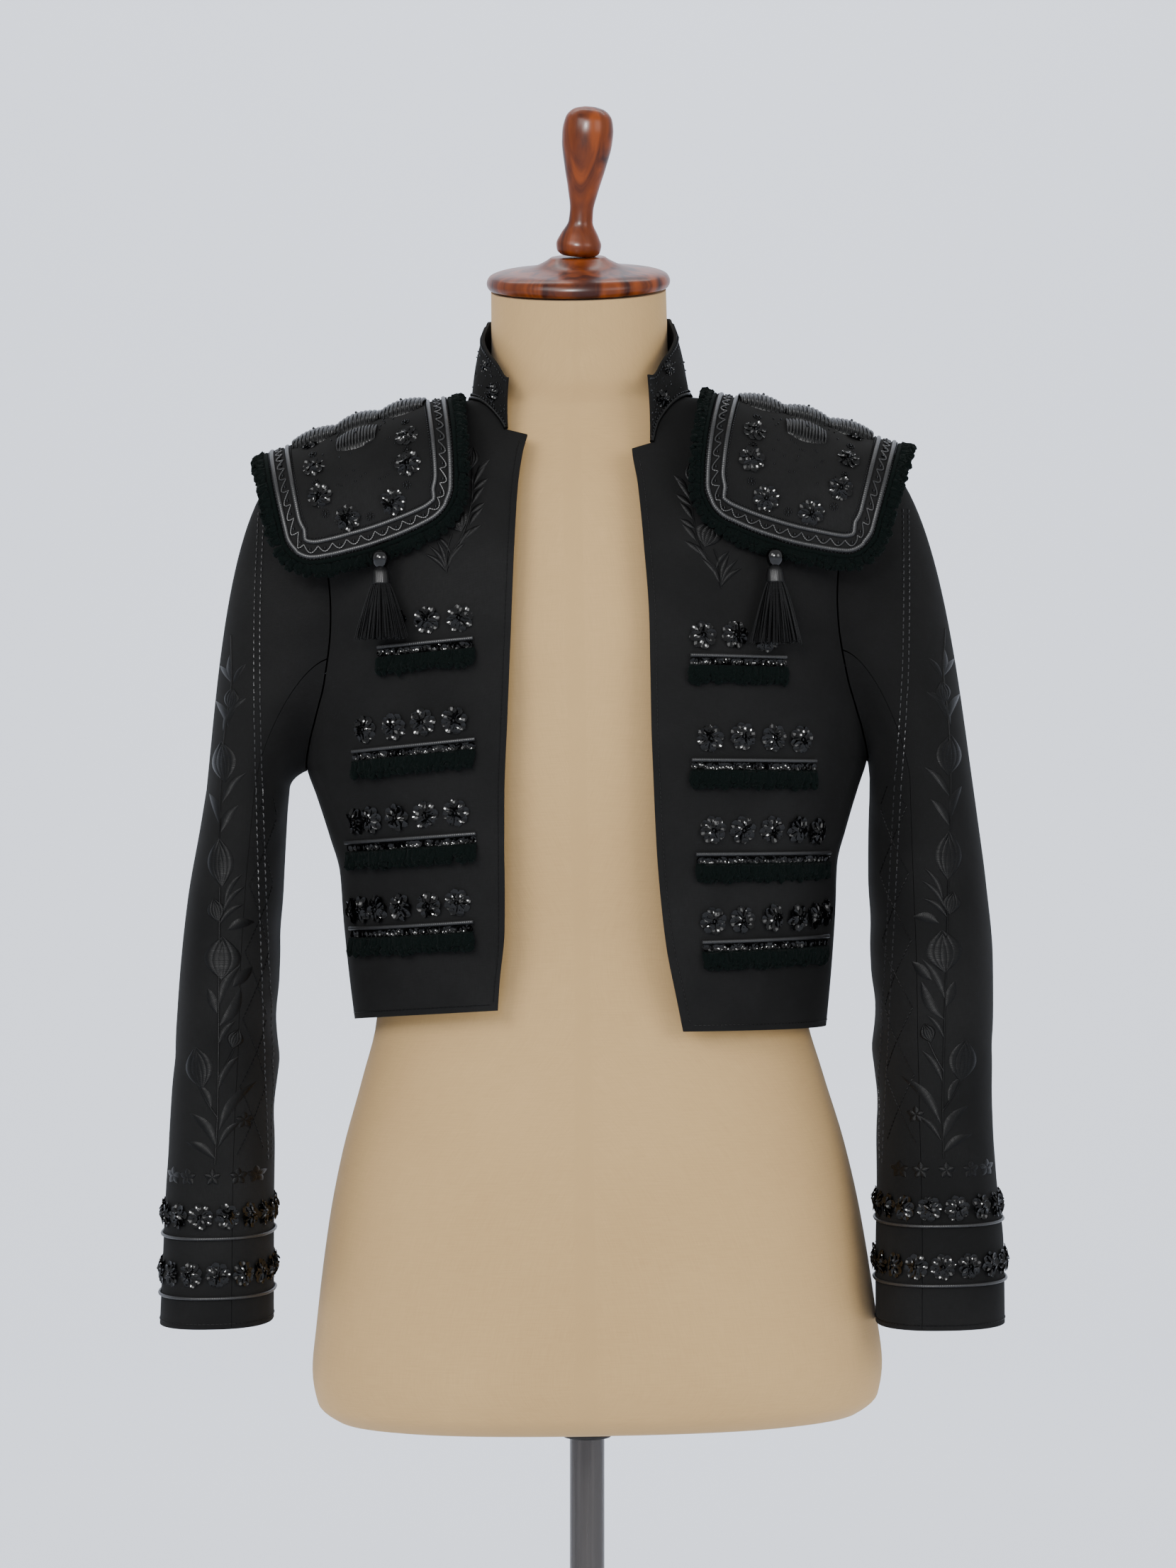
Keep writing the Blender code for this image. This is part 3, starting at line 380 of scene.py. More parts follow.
def bumped(tree, shader, height, strength, distance):
    bump = node(tree, "ShaderNodeBump", {"Height": height, "Strength": strength, "Distance": distance})
    tree.links.new(bump.outputs[0], shader.inputs["Normal"])
    return bump


def woolMaterial():
    look = {"dark": (0.0062, 0.0062, 0.0061), "light": (0.0185, 0.0182, 0.0179), "threads": 1500.0}
    material, tree, shader, at = newMaterial("blackWool", 0.90, Specular_IOR_Level=0.06, Sheen_Weight=0.02,
                                             Sheen_Roughness=0.45)
    weave = grouped(tree, "woven", at.outputs["UV"], Threads=look["threads"], Slub=0.10)
    clouds = grouped(tree, "clouds", at.outputs["Object"], Size=9.0)
    tone = node(tree, "ShaderNodeMath", {0: weave.outputs["Tone"], 1: clouds.outputs["Mask"]},
                operation="MULTIPLY_ADD")
    tone.inputs[2].default_value = 0.18
    tinted(tree, shader, tone.outputs[0], look["dark"], look["light"])
    bumped(tree, shader, weave.outputs["Height"], 0.35, 0.0004)
    return material


def threadMaterial(name, dark, light, roughness, strands, slant, depth, **sockets):
    material, tree, shader, at = newMaterial(name, roughness, **sockets)
    laid = grouped(tree, "strands", at.outputs["UV"], Strands=strands, Slant=slant)
    tinted(tree, shader, laid.outputs["Tone"], dark, light)
    bumped(tree, shader, laid.outputs["Height"], 0.6, depth)
    return material


def chenilleMaterial():
    look = {"dark": (0.0006, 0.0015, 0.0013), "light": (0.0044, 0.0090, 0.0076)}
    material, tree, shader, at = newMaterial("chenilleYarn", 0.95, Specular_IOR_Level=0.04, Sheen_Weight=0.02,
                                             Sheen_Roughness=0.5)
    fuzz = node(tree, "ShaderNodeTexNoise", {"Vector": at.outputs["Object"], "Scale": 1700.0, "Detail": 3.0})
    tinted(tree, shader, fuzz.outputs[0], look["dark"], look["light"])
    bumped(tree, shader, fuzz.outputs[0], 1.0, 0.0007)
    return material


def glossMaterial(name, dark, light, roughness, gloss):
    material, tree, shader, at = newMaterial(name, roughness, Specular_IOR_Level=gloss)
    clouds = grouped(tree, "clouds", at.outputs["Object"], Size=160.0)
    tinted(tree, shader, clouds.outputs["Mask"], dark, light)
    smudge = node(tree, "ShaderNodeMapRange", {"Value": clouds.outputs["Mask"], "To Min": roughness * 0.7,
                                               "To Max": roughness * 1.5})
    tree.links.new(smudge.outputs[0], shader.inputs["Roughness"])
    return material


def linenMaterial():
    look = {"dark": (0.495, 0.300, 0.112), "light": (0.645, 0.410, 0.170), "threads": 1100.0}
    material, tree, shader, at = newMaterial("naturalLinen", 0.9, Sheen_Weight=0.1, Sheen_Roughness=0.5)
    weave = grouped(tree, "woven", at.outputs["UV"], Threads=look["threads"], Slub=0.06)
    clouds = grouped(tree, "clouds", at.outputs["Object"], Size=5.0)
    tone = node(tree, "ShaderNodeMath", {0: clouds.outputs["Mask"], 1: 0.35, 2: weave.outputs["Tone"]},
                operation="MULTIPLY_ADD")
    tinted(tree, shader, tone.outputs[0], look["dark"], look["light"])
    bumped(tree, shader, weave.outputs["Height"], 0.4, 0.0004)
    return material


def woodMaterial():
    look = {"dark": (0.040, 0.005, 0.001), "light": (0.27, 0.052, 0.004)}
    material, tree, shader, at = newMaterial("varnishedWood", 0.34, Specular_IOR_Level=0.28, Coat_Weight=0.05,
                                             Coat_Roughness=0.08)
    grain = node(tree, "ShaderNodeMapping", {"Vector": at.outputs["Object"], "Scale": (60.0, 60.0, 6.0)})
    noise = node(tree, "ShaderNodeTexNoise", {"Vector": grain.outputs[0], "Scale": 1.0, "Detail": 6.0,
                                              "Distortion": 1.2})
    spread = node(tree, "ShaderNodeMapRange", {"Value": noise.outputs[0], "From Min": 0.35, "From Max": 0.68})
    tinted(tree, shader, spread.outputs[0], look["dark"], look["light"])
    bumped(tree, shader, noise.outputs[0], 0.12, 0.0005)
    return material


def metalMaterial(name, dark, light, roughness, metallic):
    material, tree, shader, at = newMaterial(name, roughness, Metallic=metallic)
    drawn = node(tree, "ShaderNodeMapping", {"Vector": at.outputs["Object"], "Scale": (220.0, 220.0, 5.0)})
    noise = node(tree, "ShaderNodeTexNoise", {"Vector": drawn.outputs[0], "Scale": 1.0, "Detail": 3.0})
    tinted(tree, shader, noise.outputs[0], dark, light)
    worn = node(tree, "ShaderNodeMapRange", {"Value": noise.outputs[0], "To Min": roughness * 0.7,
                                             "To Max": roughness * 1.5})
    tree.links.new(worn.outputs[0], shader.inputs["Roughness"])
    return material


wool = woolMaterial()
# dark, light, roughness, strands to a metre, slant, depth, gloss
threadLooks = {
    "satinStitch": ((0.0010, 0.0010, 0.0010), (0.0052, 0.0052, 0.0053), 0.42, 9000.0, 0.0, 0.0003, 0.125),
    "satinCord": ((0.0090, 0.0092, 0.0095), (0.036, 0.036, 0.037), 0.40, 4200.0, 0.0016, 0.0003, 0.35),
    # tasselSilk's light end is painted highlight: its lighter strands stand in for the black silk's glints,
    # over the strands' own random tone
    "tasselSilk": ((0.0008, 0.0008, 0.0008), (0.018, 0.018, 0.0185), 0.28, 5200.0, 0.0, 0.0003, 0.22),
    "coiledPurl": ((0.0010, 0.0010, 0.0010), (0.0085, 0.0085, 0.0087), 0.34, 7000.0, 0.0, 0.0003, 0.22),
}
satinStitch, satinCord, tasselSilk, purlWire = [
    threadMaterial(name, *look[:-1], Specular_IOR_Level=look[-1]) for name, look in threadLooks.items()]
chenille = chenilleMaterial()
sequinGloss = glossMaterial("blackSequin", (0.0006, 0.0006, 0.0006), (0.0030, 0.0030, 0.0031), 0.13, 0.30)
beadGloss = glossMaterial("blackBead", (0.0005, 0.0005, 0.0005), (0.0020, 0.0020, 0.0021), 0.10, 0.50)
linen = linenMaterial()
wood = woodMaterial()
steel = metalMaterial("darkSteel", (0.055, 0.050, 0.047), (0.14, 0.13, 0.125), 0.25, 1.0)
iron = metalMaterial("paintedIron", (0.022, 0.021, 0.020), (0.045, 0.043, 0.042), 0.45, 0.5)
print("materials made")


# The jacket's body and the form under it

jacketBody = {
    "squareness": 2.4,  # 2 is an ellipse, more is boxier
    "thickness": 0.0018,
    "underarm": 0.917,
    "shoulderTip": 1.138,
    "neckSide": 1.1745,
    "armholeCurve": 0.14,
    "sections": columns("height halfWidth front side back", [
        (0.7250, 0.1645, -0.114, 0.000, 0.108),
        (0.7700, 0.1695, -0.118, 0.000, 0.111),
        (0.8100, 0.1730, -0.122, 0.000, 0.115),
        (0.8450, 0.1755, -0.126, 0.000, 0.119),
        (0.8700, 0.1825, -0.129, 0.000, 0.123),
        (0.9000, 0.1915, -0.131, 0.000, 0.127),
        (0.9200, 0.1975, -0.132, 0.000, 0.129),
        (0.9600, 0.2005, -0.133, 0.001, 0.132),
        (1.0000, 0.2015, -0.131, 0.002, 0.133),
        (1.0400, 0.2020, -0.126, 0.003, 0.130),
        (1.0800, 0.2020, -0.116, 0.003, 0.121),
        (1.1100, 0.2015, -0.104, 0.003, 0.108),
        (1.1300, 0.2005, -0.094, 0.002, 0.096),
        (1.1380, 0.1985, -0.089, 0.001, 0.089),
        (1.1470, 0.1810, -0.083, 0.000, 0.081),
        (1.1550, 0.1580, -0.078, -0.002, 0.074),
        (1.1630, 0.1300, -0.075, -0.004, 0.068),
        (1.1700, 0.1025, -0.075, -0.005, 0.064),
        (1.1745, 0.0770, -0.076, -0.006, 0.061),
    ]),
    "frontEdge": columns("height right left", [
        (0.7300, 0.0640, 0.0652),
        (0.7620, 0.0617, 0.0590),
        (0.8000, 0.0577, 0.0518),
        (0.8500, 0.0568, 0.0472),
        (0.9000, 0.0560, 0.0452),
        (0.9500, 0.0532, 0.0441),
        (1.0100, 0.0498, 0.0441),
        (1.0700, 0.0465, 0.0411),
        (1.1100, 0.0436, 0.0380),
        (1.1335, 0.0400, 0.0347),
        (1.1450, 0.0368, 0.0345),
    ]),
    "notch": {-1: 1.1450, 1: 1.1335},
    "notchStep": 0.0040,
    "hemFront": {-1: 0.7516, 1: 0.7350},
    "hemSide": {-1: 0.7420, 1: 0.7320},
    "neckline": columns("height across", [
        (1.1370, 0.0480),
        (1.1500, 0.0515),
        (1.1630, 0.0600),
        (1.1700, 0.0680),
        (1.1720, 0.0725),
        (1.1735, 0.0755),
        (1.1745, 0.0768),
    ]),
    # soft hollows and ridges by the angle round the body; a slant tips the crease over
    "folds": columns("around height wide tall deep slant", [
        (180, 0.820, 9.0, 0.075, 0.0050, 0.0),
        (128, 0.900, 7.0, 0.060, 0.0035, 0.0),
        (228, 0.890, 8.0, 0.070, 0.0040, 0.0),
        (84, 0.870, 5.0, 0.030, 0.0020, 0.0),
        (276, 0.880, 5.0, 0.035, 0.0022, 0.0),
        (58, 0.930, 2.6, 0.040, 0.0013, 90.0),
        (66, 0.905, -2.2, 0.034, -0.0011, 110.0),
        (302, 0.935, 2.6, 0.042, 0.0013, -95.0),
        (294, 0.905, 2.2, 0.032, -0.0011, -120.0),
        (150, 0.950, 3.0, 0.050, 0.0015, 80.0),
        (212, 0.955, 3.2, 0.050, 0.0015, -80.0),
        (165, 1.060, 4.0, 0.030, 0.0012, 160.0),
        (197, 1.055, 4.0, 0.030, 0.0012, -160.0),
        (40, 0.775, 3.0, 0.030, -0.0010, 30.0),
        (322, 0.780, 3.0, 0.030, -0.0010, -30.0),
        (24, 1.050, 2.5, 0.045, 0.0009, 40.0),
        (337, 1.045, 2.5, 0.045, 0.0009, -40.0),
    ]),
}

formBody = {
    "sides": 144,
    "neckRadius": 0.0613,
    "neckTop": 1.2500,
    "neckCentre": -0.0210,
    "neckSlant": 13.0,
    "sections": columns("height halfWidth front side back", [
        (0.4570, 0.1650, -0.083, 0.000, 0.090),
        (0.4612, 0.1830, -0.103, 0.000, 0.108),
        (0.4735, 0.1970, -0.115, 0.000, 0.120),
        (0.4960, 0.2005, -0.120, 0.000, 0.125),
        (0.5250, 0.1975, -0.120, 0.000, 0.126),
        (0.6000, 0.1870, -0.116, 0.000, 0.124),
        (0.6500, 0.1765, -0.111, 0.000, 0.117),
        (0.7000, 0.1620, -0.104, 0.000, 0.106),
        (0.7425, 0.1510, -0.099, 0.000, 0.098),
        (0.7900, 0.1480, -0.097, 0.000, 0.096),
        (0.8500, 0.1560, -0.105, 0.000, 0.102),
        (0.9200, 0.1660, -0.113, 0.000, 0.111),
        (1.0000, 0.1720, -0.115, 0.001, 0.115),
        (1.0500, 0.1740, -0.107, 0.002, 0.111),
        (1.0900, 0.1780, -0.095, 0.002, 0.099),
        (1.1150, 0.1770, -0.085, 0.002, 0.088),
        (1.1350, 0.1680, -0.075, 0.000, 0.075),
        (1.1522, 0.1560, -0.068, -0.002, 0.065),
        (1.1602, 0.1290, -0.066, -0.004, 0.061),
        (1.1672, 0.1010, -0.065, -0.005, 0.057),
        (1.1725, 0.0740, -0.066, -0.006, 0.054),
        (1.1820, 0.0650, -0.069, -0.007, 0.053),
        (1.2050, 0.0620, -0.073, -0.011, 0.049),
    ]),
}


def bodyPoint(sections, around, height):
    # superellipse section: 0 degrees is the middle front, 90 the wearer's left
    around = np.radians(around)
    height = np.asarray(height, float)
    sine = np.sin(around)
    cosine = np.cos(around)
    side = curveThrough(sections, "side", height)
    front = curveThrough(sections, "front", height) - side
    back = curveThrough(sections, "back", height) - side
    power = 2 / jacketBody["squareness"]
    x = curveThrough(sections, "halfWidth", height) * np.sign(sine) * np.abs(sine) ** power
    y = side + np.where(cosine > 0, front, back) * np.abs(cosine) ** power
    return np.stack(np.broadcast_arrays(x, y, height), axis=-1)


def jacketPoint(around, height):
    # the section pressed inwards by each fold: deep * exp(-across^2 - up^2)
    point = bodyPoint(jacketBody["sections"], around, height)
    turn = np.mod(around, 360)
    press = np.zeros(point.shape[:-1])
    for centre, level, wide, tall, deep, slant in zip(*jacketBody["folds"].values()):
        up = height - level
        across = (turn - centre - slant * up) / wide
        press = press + deep * np.exp(-across ** 2 - (up / tall) ** 2)
    inward = unit(point * np.array([1.0, 1.0, 0.0]))
    return point - inward * press[..., None]


def aroundAt(across, height):
    # the angle at which the body reaches a distance to the side
    half = curveThrough(jacketBody["sections"], "halfWidth", height)
    return np.degrees(np.arcsin(np.clip(across / half, 0, 1) ** (jacketBody["squareness"] / 2)))


def armholeAcross(height):
    share = np.clip((height - jacketBody["underarm"]) / (jacketBody["shoulderTip"] - jacketBody["underarm"]),
                    0, 1)
    half = curveThrough(jacketBody["sections"], "halfWidth", height)
    return half * (1 - jacketBody["armholeCurve"] * np.sin(math.pi * share))


def hemLifted(height, hem):
    share = np.clip((jacketBody["underarm"] - height) / (jacketBody["underarm"] - jacketBody["hemSide"][-1]),
                    0, 1)
    return height + share * (hem - jacketBody["hemSide"][-1])


def bodyRows(top):
    low = np.linspace(jacketBody["hemSide"][-1], jacketBody["underarm"], 34)
    return np.concatenate([low, np.linspace(jacketBody["underarm"], top, 44)[1:]])


bodyStep = (0.6, 0.0012)


def frontPanel(side):
    name = "frontRight" if side < 0 else "frontLeft"
    solid = "front_right" if side < 0 else "front_left"
    notch = jacketBody["notch"][side]
    step = jacketBody["notchStep"]
    heights = np.concatenate([bodyRows(notch), [notch + step],
                              np.linspace(notch + step, jacketBody["neckSide"], 11)[1:]])
    edge = curveThrough(jacketBody["frontEdge"], "right" if side < 0 else "left", heights)
    neck = curveThrough(jacketBody["neckline"], "across", heights)
    start = aroundAt(np.where(heights > notch + step / 2, neck, edge), heights)
    end = np.minimum(aroundAt(armholeAcross(heights), heights), 89.95)
    share = np.linspace(0, 1, 46)
    angle = start[:, None] + (end - start)[:, None] * share
    hem = jacketBody["hemFront"][side] + (jacketBody["hemSide"][side] - jacketBody["hemFront"][side]) * share
    height = hemLifted(heights[:, None] + 0 * angle, hem[None, :])
    outer = jacketPoint(side * angle, height)
    normals = normalsOf(jacketPoint, side * angle, height, bodyStep)
    piece = clothShell(name, outer, normals, jacketBody["thickness"], wool, [solid])
    return piece


def backPanel():
    heights = np.concatenate([bodyRows(jacketBody["shoulderTip"]),
                              np.linspace(jacketBody["shoulderTip"], jacketBody["neckSide"], 16)[1:]])
    end = np.minimum(aroundAt(armholeAcross(heights), heights), 89.95)
    share = np.linspace(0, 1, 84)
    angle = (180 - end)[:, None] + (2 * end)[:, None] * share
    hem = jacketBody["hemSide"][1] + (jacketBody["hemSide"][-1] - jacketBody["hemSide"][1]) * share
    height = hemLifted(heights[:, None] + 0 * angle, hem[None, :])
    outer = jacketPoint(angle, height)
    normals = normalsOf(jacketPoint, angle, height, bodyStep)
    piece = clothShell("backPanel", outer, normals, jacketBody["thickness"], wool, ["back"])


frontPanel(-1)
frontPanel(1)
backPanel()
print("fronts and back made")

collarStand = {
    "thickness": 0.0020,
    "lift": 0.0006,
    "spring": 0.0012,
    "edge": columns("around top lean", [
        (30, 1.1840, 0.0020),
        (40, 1.1850, 0.0020),
        (50, 1.1990, 0.0040),
        (65, 1.2155, 0.0080),
        (90, 1.2310, 0.0125),
        (130, 1.2345, 0.0125),
        (180, 1.2345, 0.0120),
    ]),
}


def necklinePoints(side):
    height = np.linspace(jacketBody["notch"][side] + jacketBody["notchStep"], jacketBody["neckSide"], 30)
    return jacketPoint(side * aroundAt(curveThrough(jacketBody["neckline"], "across", height), height),
                       height)


def collarSurface():
    # rises from the neckline and leans in, with a slight outward spring halfway up
    back = jacketPoint(np.linspace(98, 262, 80), jacketBody["neckSide"])
    base = np.concatenate([necklinePoints(1), back, necklinePoints(-1)[::-1]])
    base[:, 2] += collarStand["lift"]
    centre = np.array([0.0, curveThrough(jacketBody["sections"], "side", jacketBody["neckSide"]), 0.0])
    plan = (base - centre) * np.array([1.0, 1.0, 0.0])
    around = np.degrees(np.arctan2(np.abs(plan[:, 0]) / 0.077, -plan[:, 1] / 0.090))
    outward = unit(plan)
    top = base - outward * curveThrough(collarStand["edge"], "lean", around)[:, None]
    top[:, 2] = curveThrough(collarStand["edge"], "top", around)
    share = np.linspace(0, 1, 16)[:, None, None]
    outer = base + (top - base) * share + outward * collarStand["spring"] * np.sin(math.pi * share)
    return outer, np.broadcast_to(outward, outer.shape)


collarGrid, collarOutward = collarSurface()
collarPiece = clothShell("standCollar", collarGrid, collarOutward, collarStand["thickness"], wool,
                         ["collar"])


# Sleeves

sleeveShape = {
    "thickness": 0.0018,
    "top": 0.9050,
    "standoff": 0.0011,
    "cuff": {-1: 0.5370, 1: 0.5275},
    "topsleeve": (-0.30, 0.30),
    "undersleeve": (0.30, 0.70),
    "seam": 0.0008,
    "sections": columns("height rightOuter rightInner leftOuter leftInner front back", [
        (0.5200, 0.3036, 0.2248, 0.2830, 0.1940, -0.102, 0.012),
        (0.5800, 0.3005, 0.2244, 0.2838, 0.1957, -0.099, 0.026),
        (0.6300, 0.2980, 0.2240, 0.2800, 0.1980, -0.096, 0.040),
        (0.6800, 0.2950, 0.2226, 0.2790, 0.1985, -0.090, 0.056),
        (0.7300, 0.2910, 0.2197, 0.2810, 0.1973, -0.089, 0.063),
        (0.7800, 0.2870, 0.2185, 0.2820, 0.1970, -0.087, 0.070),
        (0.8300, 0.2810, 0.2160, 0.2785, 0.1973, -0.085, 0.076),
        (0.8800, 0.2715, 0.2130, 0.2730, 0.1988, -0.083, 0.081),
        (0.9050, 0.2670, 0.2107, 0.2700, 0.2000, -0.082, 0.082),
    ]),
    # troughs where the arm bends, with finer drag lines round them
    "folds": columns("turn height wide tall deep slant", [
        (0.50, 0.745, 0.16, 0.020, 0.0035, 0.0),
        (0.44, 0.805, 0.12, 0.016, 0.0025, 0.0),
        (0.60, 0.680, 0.13, 0.018, 0.0025, 0.0),
        (0.92, 0.990, 0.10, 0.022, 0.0020, 0.0),
        (0.40, 0.765, 0.10, 0.008, 0.0013, 0.12),
        (0.46, 0.722, 0.12, 0.009, -0.0012, -0.10),
        (0.34, 0.700, 0.08, 0.008, 0.0010, 0.14),
        (0.30, 0.845, 0.10, 0.012, 0.0010, 0.16),
        (0.42, 0.870, 0.09, 0.010, 0.0012, 0.18),
        (0.66, 0.760, 0.10, 0.009, 0.0013, -0.12),
        (0.72, 0.820, 0.10, 0.010, 0.0011, -0.12),
        (0.05, 0.720, 0.10, 0.011, 0.0008, 0.10),
        (0.14, 0.640, 0.10, 0.014, 0.0008, -0.10),
        (0.85, 0.700, 0.10, 0.012, 0.0009, 0.10),
    ]),
}


def armholePoint(side, turn):
    middle = (jacketBody["shoulderTip"] + jacketBody["underarm"]) / 2
    half = (jacketBody["shoulderTip"] - jacketBody["underarm"]) / 2
    height = middle + half * np.cos(full * turn)
    angle = aroundAt(armholeAcross(height), height)
    angle = np.where(np.sin(full * turn) >= 0, angle, 180 - angle)
    return jacketPoint(side * angle, height)


def sleevePoint(side, turn, rise):
    # rise 0 is the cuff, 1 the top of the straight part, 2 the armhole; turn 0 is outside, 0.25 the front
    name = "right" if side < 0 else "left"
    cuff = sleeveShape["cuff"][side]
    height = cuff + (sleeveShape["top"] - cuff) * np.clip(rise, -0.05, 1)
    sections = sleeveShape["sections"]
    outer = curveThrough(sections, name + "Outer", height)
    inner = curveThrough(sections, name + "Inner", height)
    front = curveThrough(sections, "front", height)
    back = curveThrough(sections, "back", height)
    cosine = np.cos(full * turn)
    sine = np.sin(full * turn)
    power = 2 / jacketBody["squareness"]
    across = (outer + inner) / 2 + (outer - inner) / 2 * np.sign(cosine) * np.abs(cosine) ** power
    depth = (front + back) / 2 + (front - back) / 2 * np.sign(sine) * np.abs(sine) ** power
    x, y, z = np.broadcast_arrays(side * across, depth, height)
    tube = np.stack([x, y, z], axis=-1)
    press = np.zeros(tube.shape[:-1])
    for centre, level, wide, tall, deep, slant in zip(*sleeveShape["folds"].values()):
        away = np.mod(turn - centre + 0.5, 1) - 0.5
        press = press + deep * np.exp(-(away / wide) ** 2 - ((height - level - slant * away) / tall) ** 2)
    middle = np.stack([side * (outer + inner) / 2 + 0 * x, (front + back) / 2 + 0 * y, z], axis=-1)
    tube = tube - unit(tube - middle) * press[..., None]
    standoff = np.array([side * sleeveShape["standoff"], 0, 0])
    end = armholePoint(side, np.broadcast_to(turn, x.shape)) + standoff
    reach = np.linalg.norm(end - tube, axis=-1, keepdims=True)
    leave = tube + reach * np.array([-0.04 * side, 0, 0.33])
    arrive = end + reach * np.array([0.20 * side, 0, -0.06])
    t = np.broadcast_to(np.clip(rise - 1, 0, 1), x.shape)[..., None]
    return (1 - t) ** 3 * tube + 3 * t * (1 - t) ** 2 * leave + 3 * t * t * (1 - t) * arrive + t ** 3 * end


def sleevePiece(side, part, count):
    name = part + ("Right" if side < 0 else "Left")
    solid = part + ("_right" if side < 0 else "_left")
    low, high = sleeveShape[part]
    turns = np.linspace(low + sleeveShape["seam"], high - sleeveShape["seam"], count)[None, :]
    rises = np.concatenate([np.linspace(0, 1, 82), np.linspace(1, 2, 32)[1:]])[:, None]
    surface = partial(sleevePoint, side)
    turns, rises = np.broadcast_arrays(turns, rises)
    outer = surface(turns, rises)
    normals = normalsOf(surface, turns, rises, (0.003, 0.006)) * -side
    piece = clothShell(name, outer, normals, sleeveShape["thickness"], wool, [solid])


for side in (-1, 1):
    sleevePiece(side, "topsleeve", 72)
    sleevePiece(side, "undersleeve", 34)
print("sleeves made")


# Shoulder pieces

shoulderPlate = {
    "thickness": 0.0035,
    "lift": 0.0007,
    "middle": {-1: 0.1560, 1: 0.1592},
    "swing": {-1: 0.0122, 1: 0.0205},  # how far the front and back edges lie nearer the neck
    "swingPower": 1.5,
    "halfLength": 0.0620,
    "drop": {-1: 0.0947, 1: 0.0985},
    "squareness": 3.2,
    "halfDepth": (0.120, 0.104),
    "depthCentre": 0.004,
    "corner": 0.40,
    "fillet": (0.27, 0.18),  # share of the half length and of the drop
    "ridge": columns("across height", [
        (0.0770, 1.1745),
        (0.1025, 1.1700),
        (0.1300, 1.1630),
        (0.1580, 1.1550),
        (0.1810, 1.1470),
        (0.2270, 1.1332),
    ]),
    "roundLength": 0.185,  # from the ridge to the front edge along the cloth
}


def plateHalfDepth(along):
    near, far = shoulderPlate["halfDepth"]
    return near + (far - near) * (along + 1) / 2


def filleted(first, second):
    # draws a square's corners in to an ellipse quarter, less and less towards the middle
    wide, tall = shoulderPlate["fillet"]
    size = np.maximum(np.maximum(np.abs(first), np.abs(second)), 1e-6)
    x = np.abs(first) / size
    y = np.abs(second) / size
    a = (x / wide) ** 2 + (y / tall) ** 2
    b = x * (1 - wide) / wide ** 2 + y * (1 - tall) / tall ** 2
    c = ((1 - wide) / wide) ** 2 + ((1 - tall) / tall) ** 2 - 1
    reach = (b + np.sqrt(np.maximum(b ** 2 - a * c, 0))) / a
    inCorner = (reach * x > 1 - wide) & (reach * y > 1 - tall)
    scale = 1 - np.where(inCorner, 1 - reach, 0) * size ** 1.5
    return first * scale, second * scale


def platePoint(side, along, around):
    # an arch over the shoulder: along runs from the neck end to the outer end, around from back to front
    power = 2 / shoulderPlate["squareness"]
    corner = shoulderPlate["corner"]
    level = np.sign(around) * (1 - np.abs(np.cos(around * math.pi / 2)) ** power)
    along, level = filleted(*np.broadcast_arrays(along, level))
    u = along * np.sqrt(1 - corner * level ** 2 / 2)
    level = level * np.sqrt(1 - corner * along ** 2 / 2)
    angle = np.arccos((1 - np.abs(level)) ** (1 / power))
    swing = shoulderPlate["swing"][side] * (angle * 2 / math.pi) ** shoulderPlate["swingPower"]
    across = shoulderPlate["middle"][side] - swing + shoulderPlate["halfLength"] * u
    ridge = np.interp(across, shoulderPlate["ridge"]["across"], shoulderPlate["ridge"]["height"])
    y = shoulderPlate["depthCentre"] - plateHalfDepth(u) * np.sign(level) * np.sin(angle) ** power
    crest = ridge + shoulderPlate["lift"] + shoulderPlate["thickness"]
    z = crest - shoulderPlate["drop"][side] * np.abs(level)
    return np.stack(np.broadcast_arrays(side * across, y, z), axis=-1)


def plateNormals(side, along, around):
    along, around = np.broadcast_arrays(np.asarray(along, float), np.asarray(around, float))
    safe = np.where(around < 0, -1, 1) * np.clip(np.abs(around), 0.004, 0.985)
    return normalsOf(partial(platePoint, side), along, safe, (0.004, 0.003)) * -side


def plateRim(side, inset, count=360):
    # a loop that keeps its distance from the rim, from the outer back corner round by the front
    a = 1 - inset / shoulderPlate["halfLength"]
    left = inset / shoulderPlate["drop"][side]
    b = math.acos(left ** (shoulderPlate["squareness"] / 2)) * 2 / math.pi
    corners = np.array([(a, 0), (a, b), (-a, b), (-a, -b), (a, -b), (a, 0)])
    alongLengths = np.array([b * shoulderPlate["roundLength"], 2 * a * shoulderPlate["halfLength"],
                             2 * b * shoulderPlate["roundLength"], 2 * a * shoulderPlate["halfLength"],
                             b * shoulderPlate["roundLength"]])
    run = np.concatenate([[0], np.cumsum(alongLengths)])
    at = np.linspace(0, run[-1], count * 4, endpoint=False)
    along = np.interp(at, run, corners[:, 0])
    around = np.interp(at, run, corners[:, 1])
    dense = platePoint(side, along, around)
    lengths = np.linalg.norm(np.diff(np.concatenate([dense, dense[:1]]), axis=0), axis=1)
    travelled = np.concatenate([[0], np.cumsum(lengths)])
    even = np.linspace(0, travelled[-1], count, endpoint=False)
    spot = np.interp(even, travelled, np.arange(len(travelled)))
    along = np.interp(spot, np.arange(len(along) + 1), np.append(along, along[0]))
    around = np.interp(spot, np.arange(len(around) + 1), np.append(around, around[0]))
    return platePoint(side, along, around), plateNormals(side, along, around), travelled[-1]


def shoulderPiece(side):
    name = "shoulderRight" if side < 0 else "shoulderLeft"
    solid = "epaulette_right" if side < 0 else "epaulette_left"
    along = np.linspace(-1, 1, 54)[None, :]
    around = np.sin(np.linspace(-1, 1, 124) * math.pi / 2)[:, None]
    along, around = np.broadcast_arrays(along, around)
    surface = platePoint(side, along, around)
    normals = plateNormals(side, along, around)
    piece = clothShell(name, surface, normals, shoulderPlate["thickness"], wool, [solid])


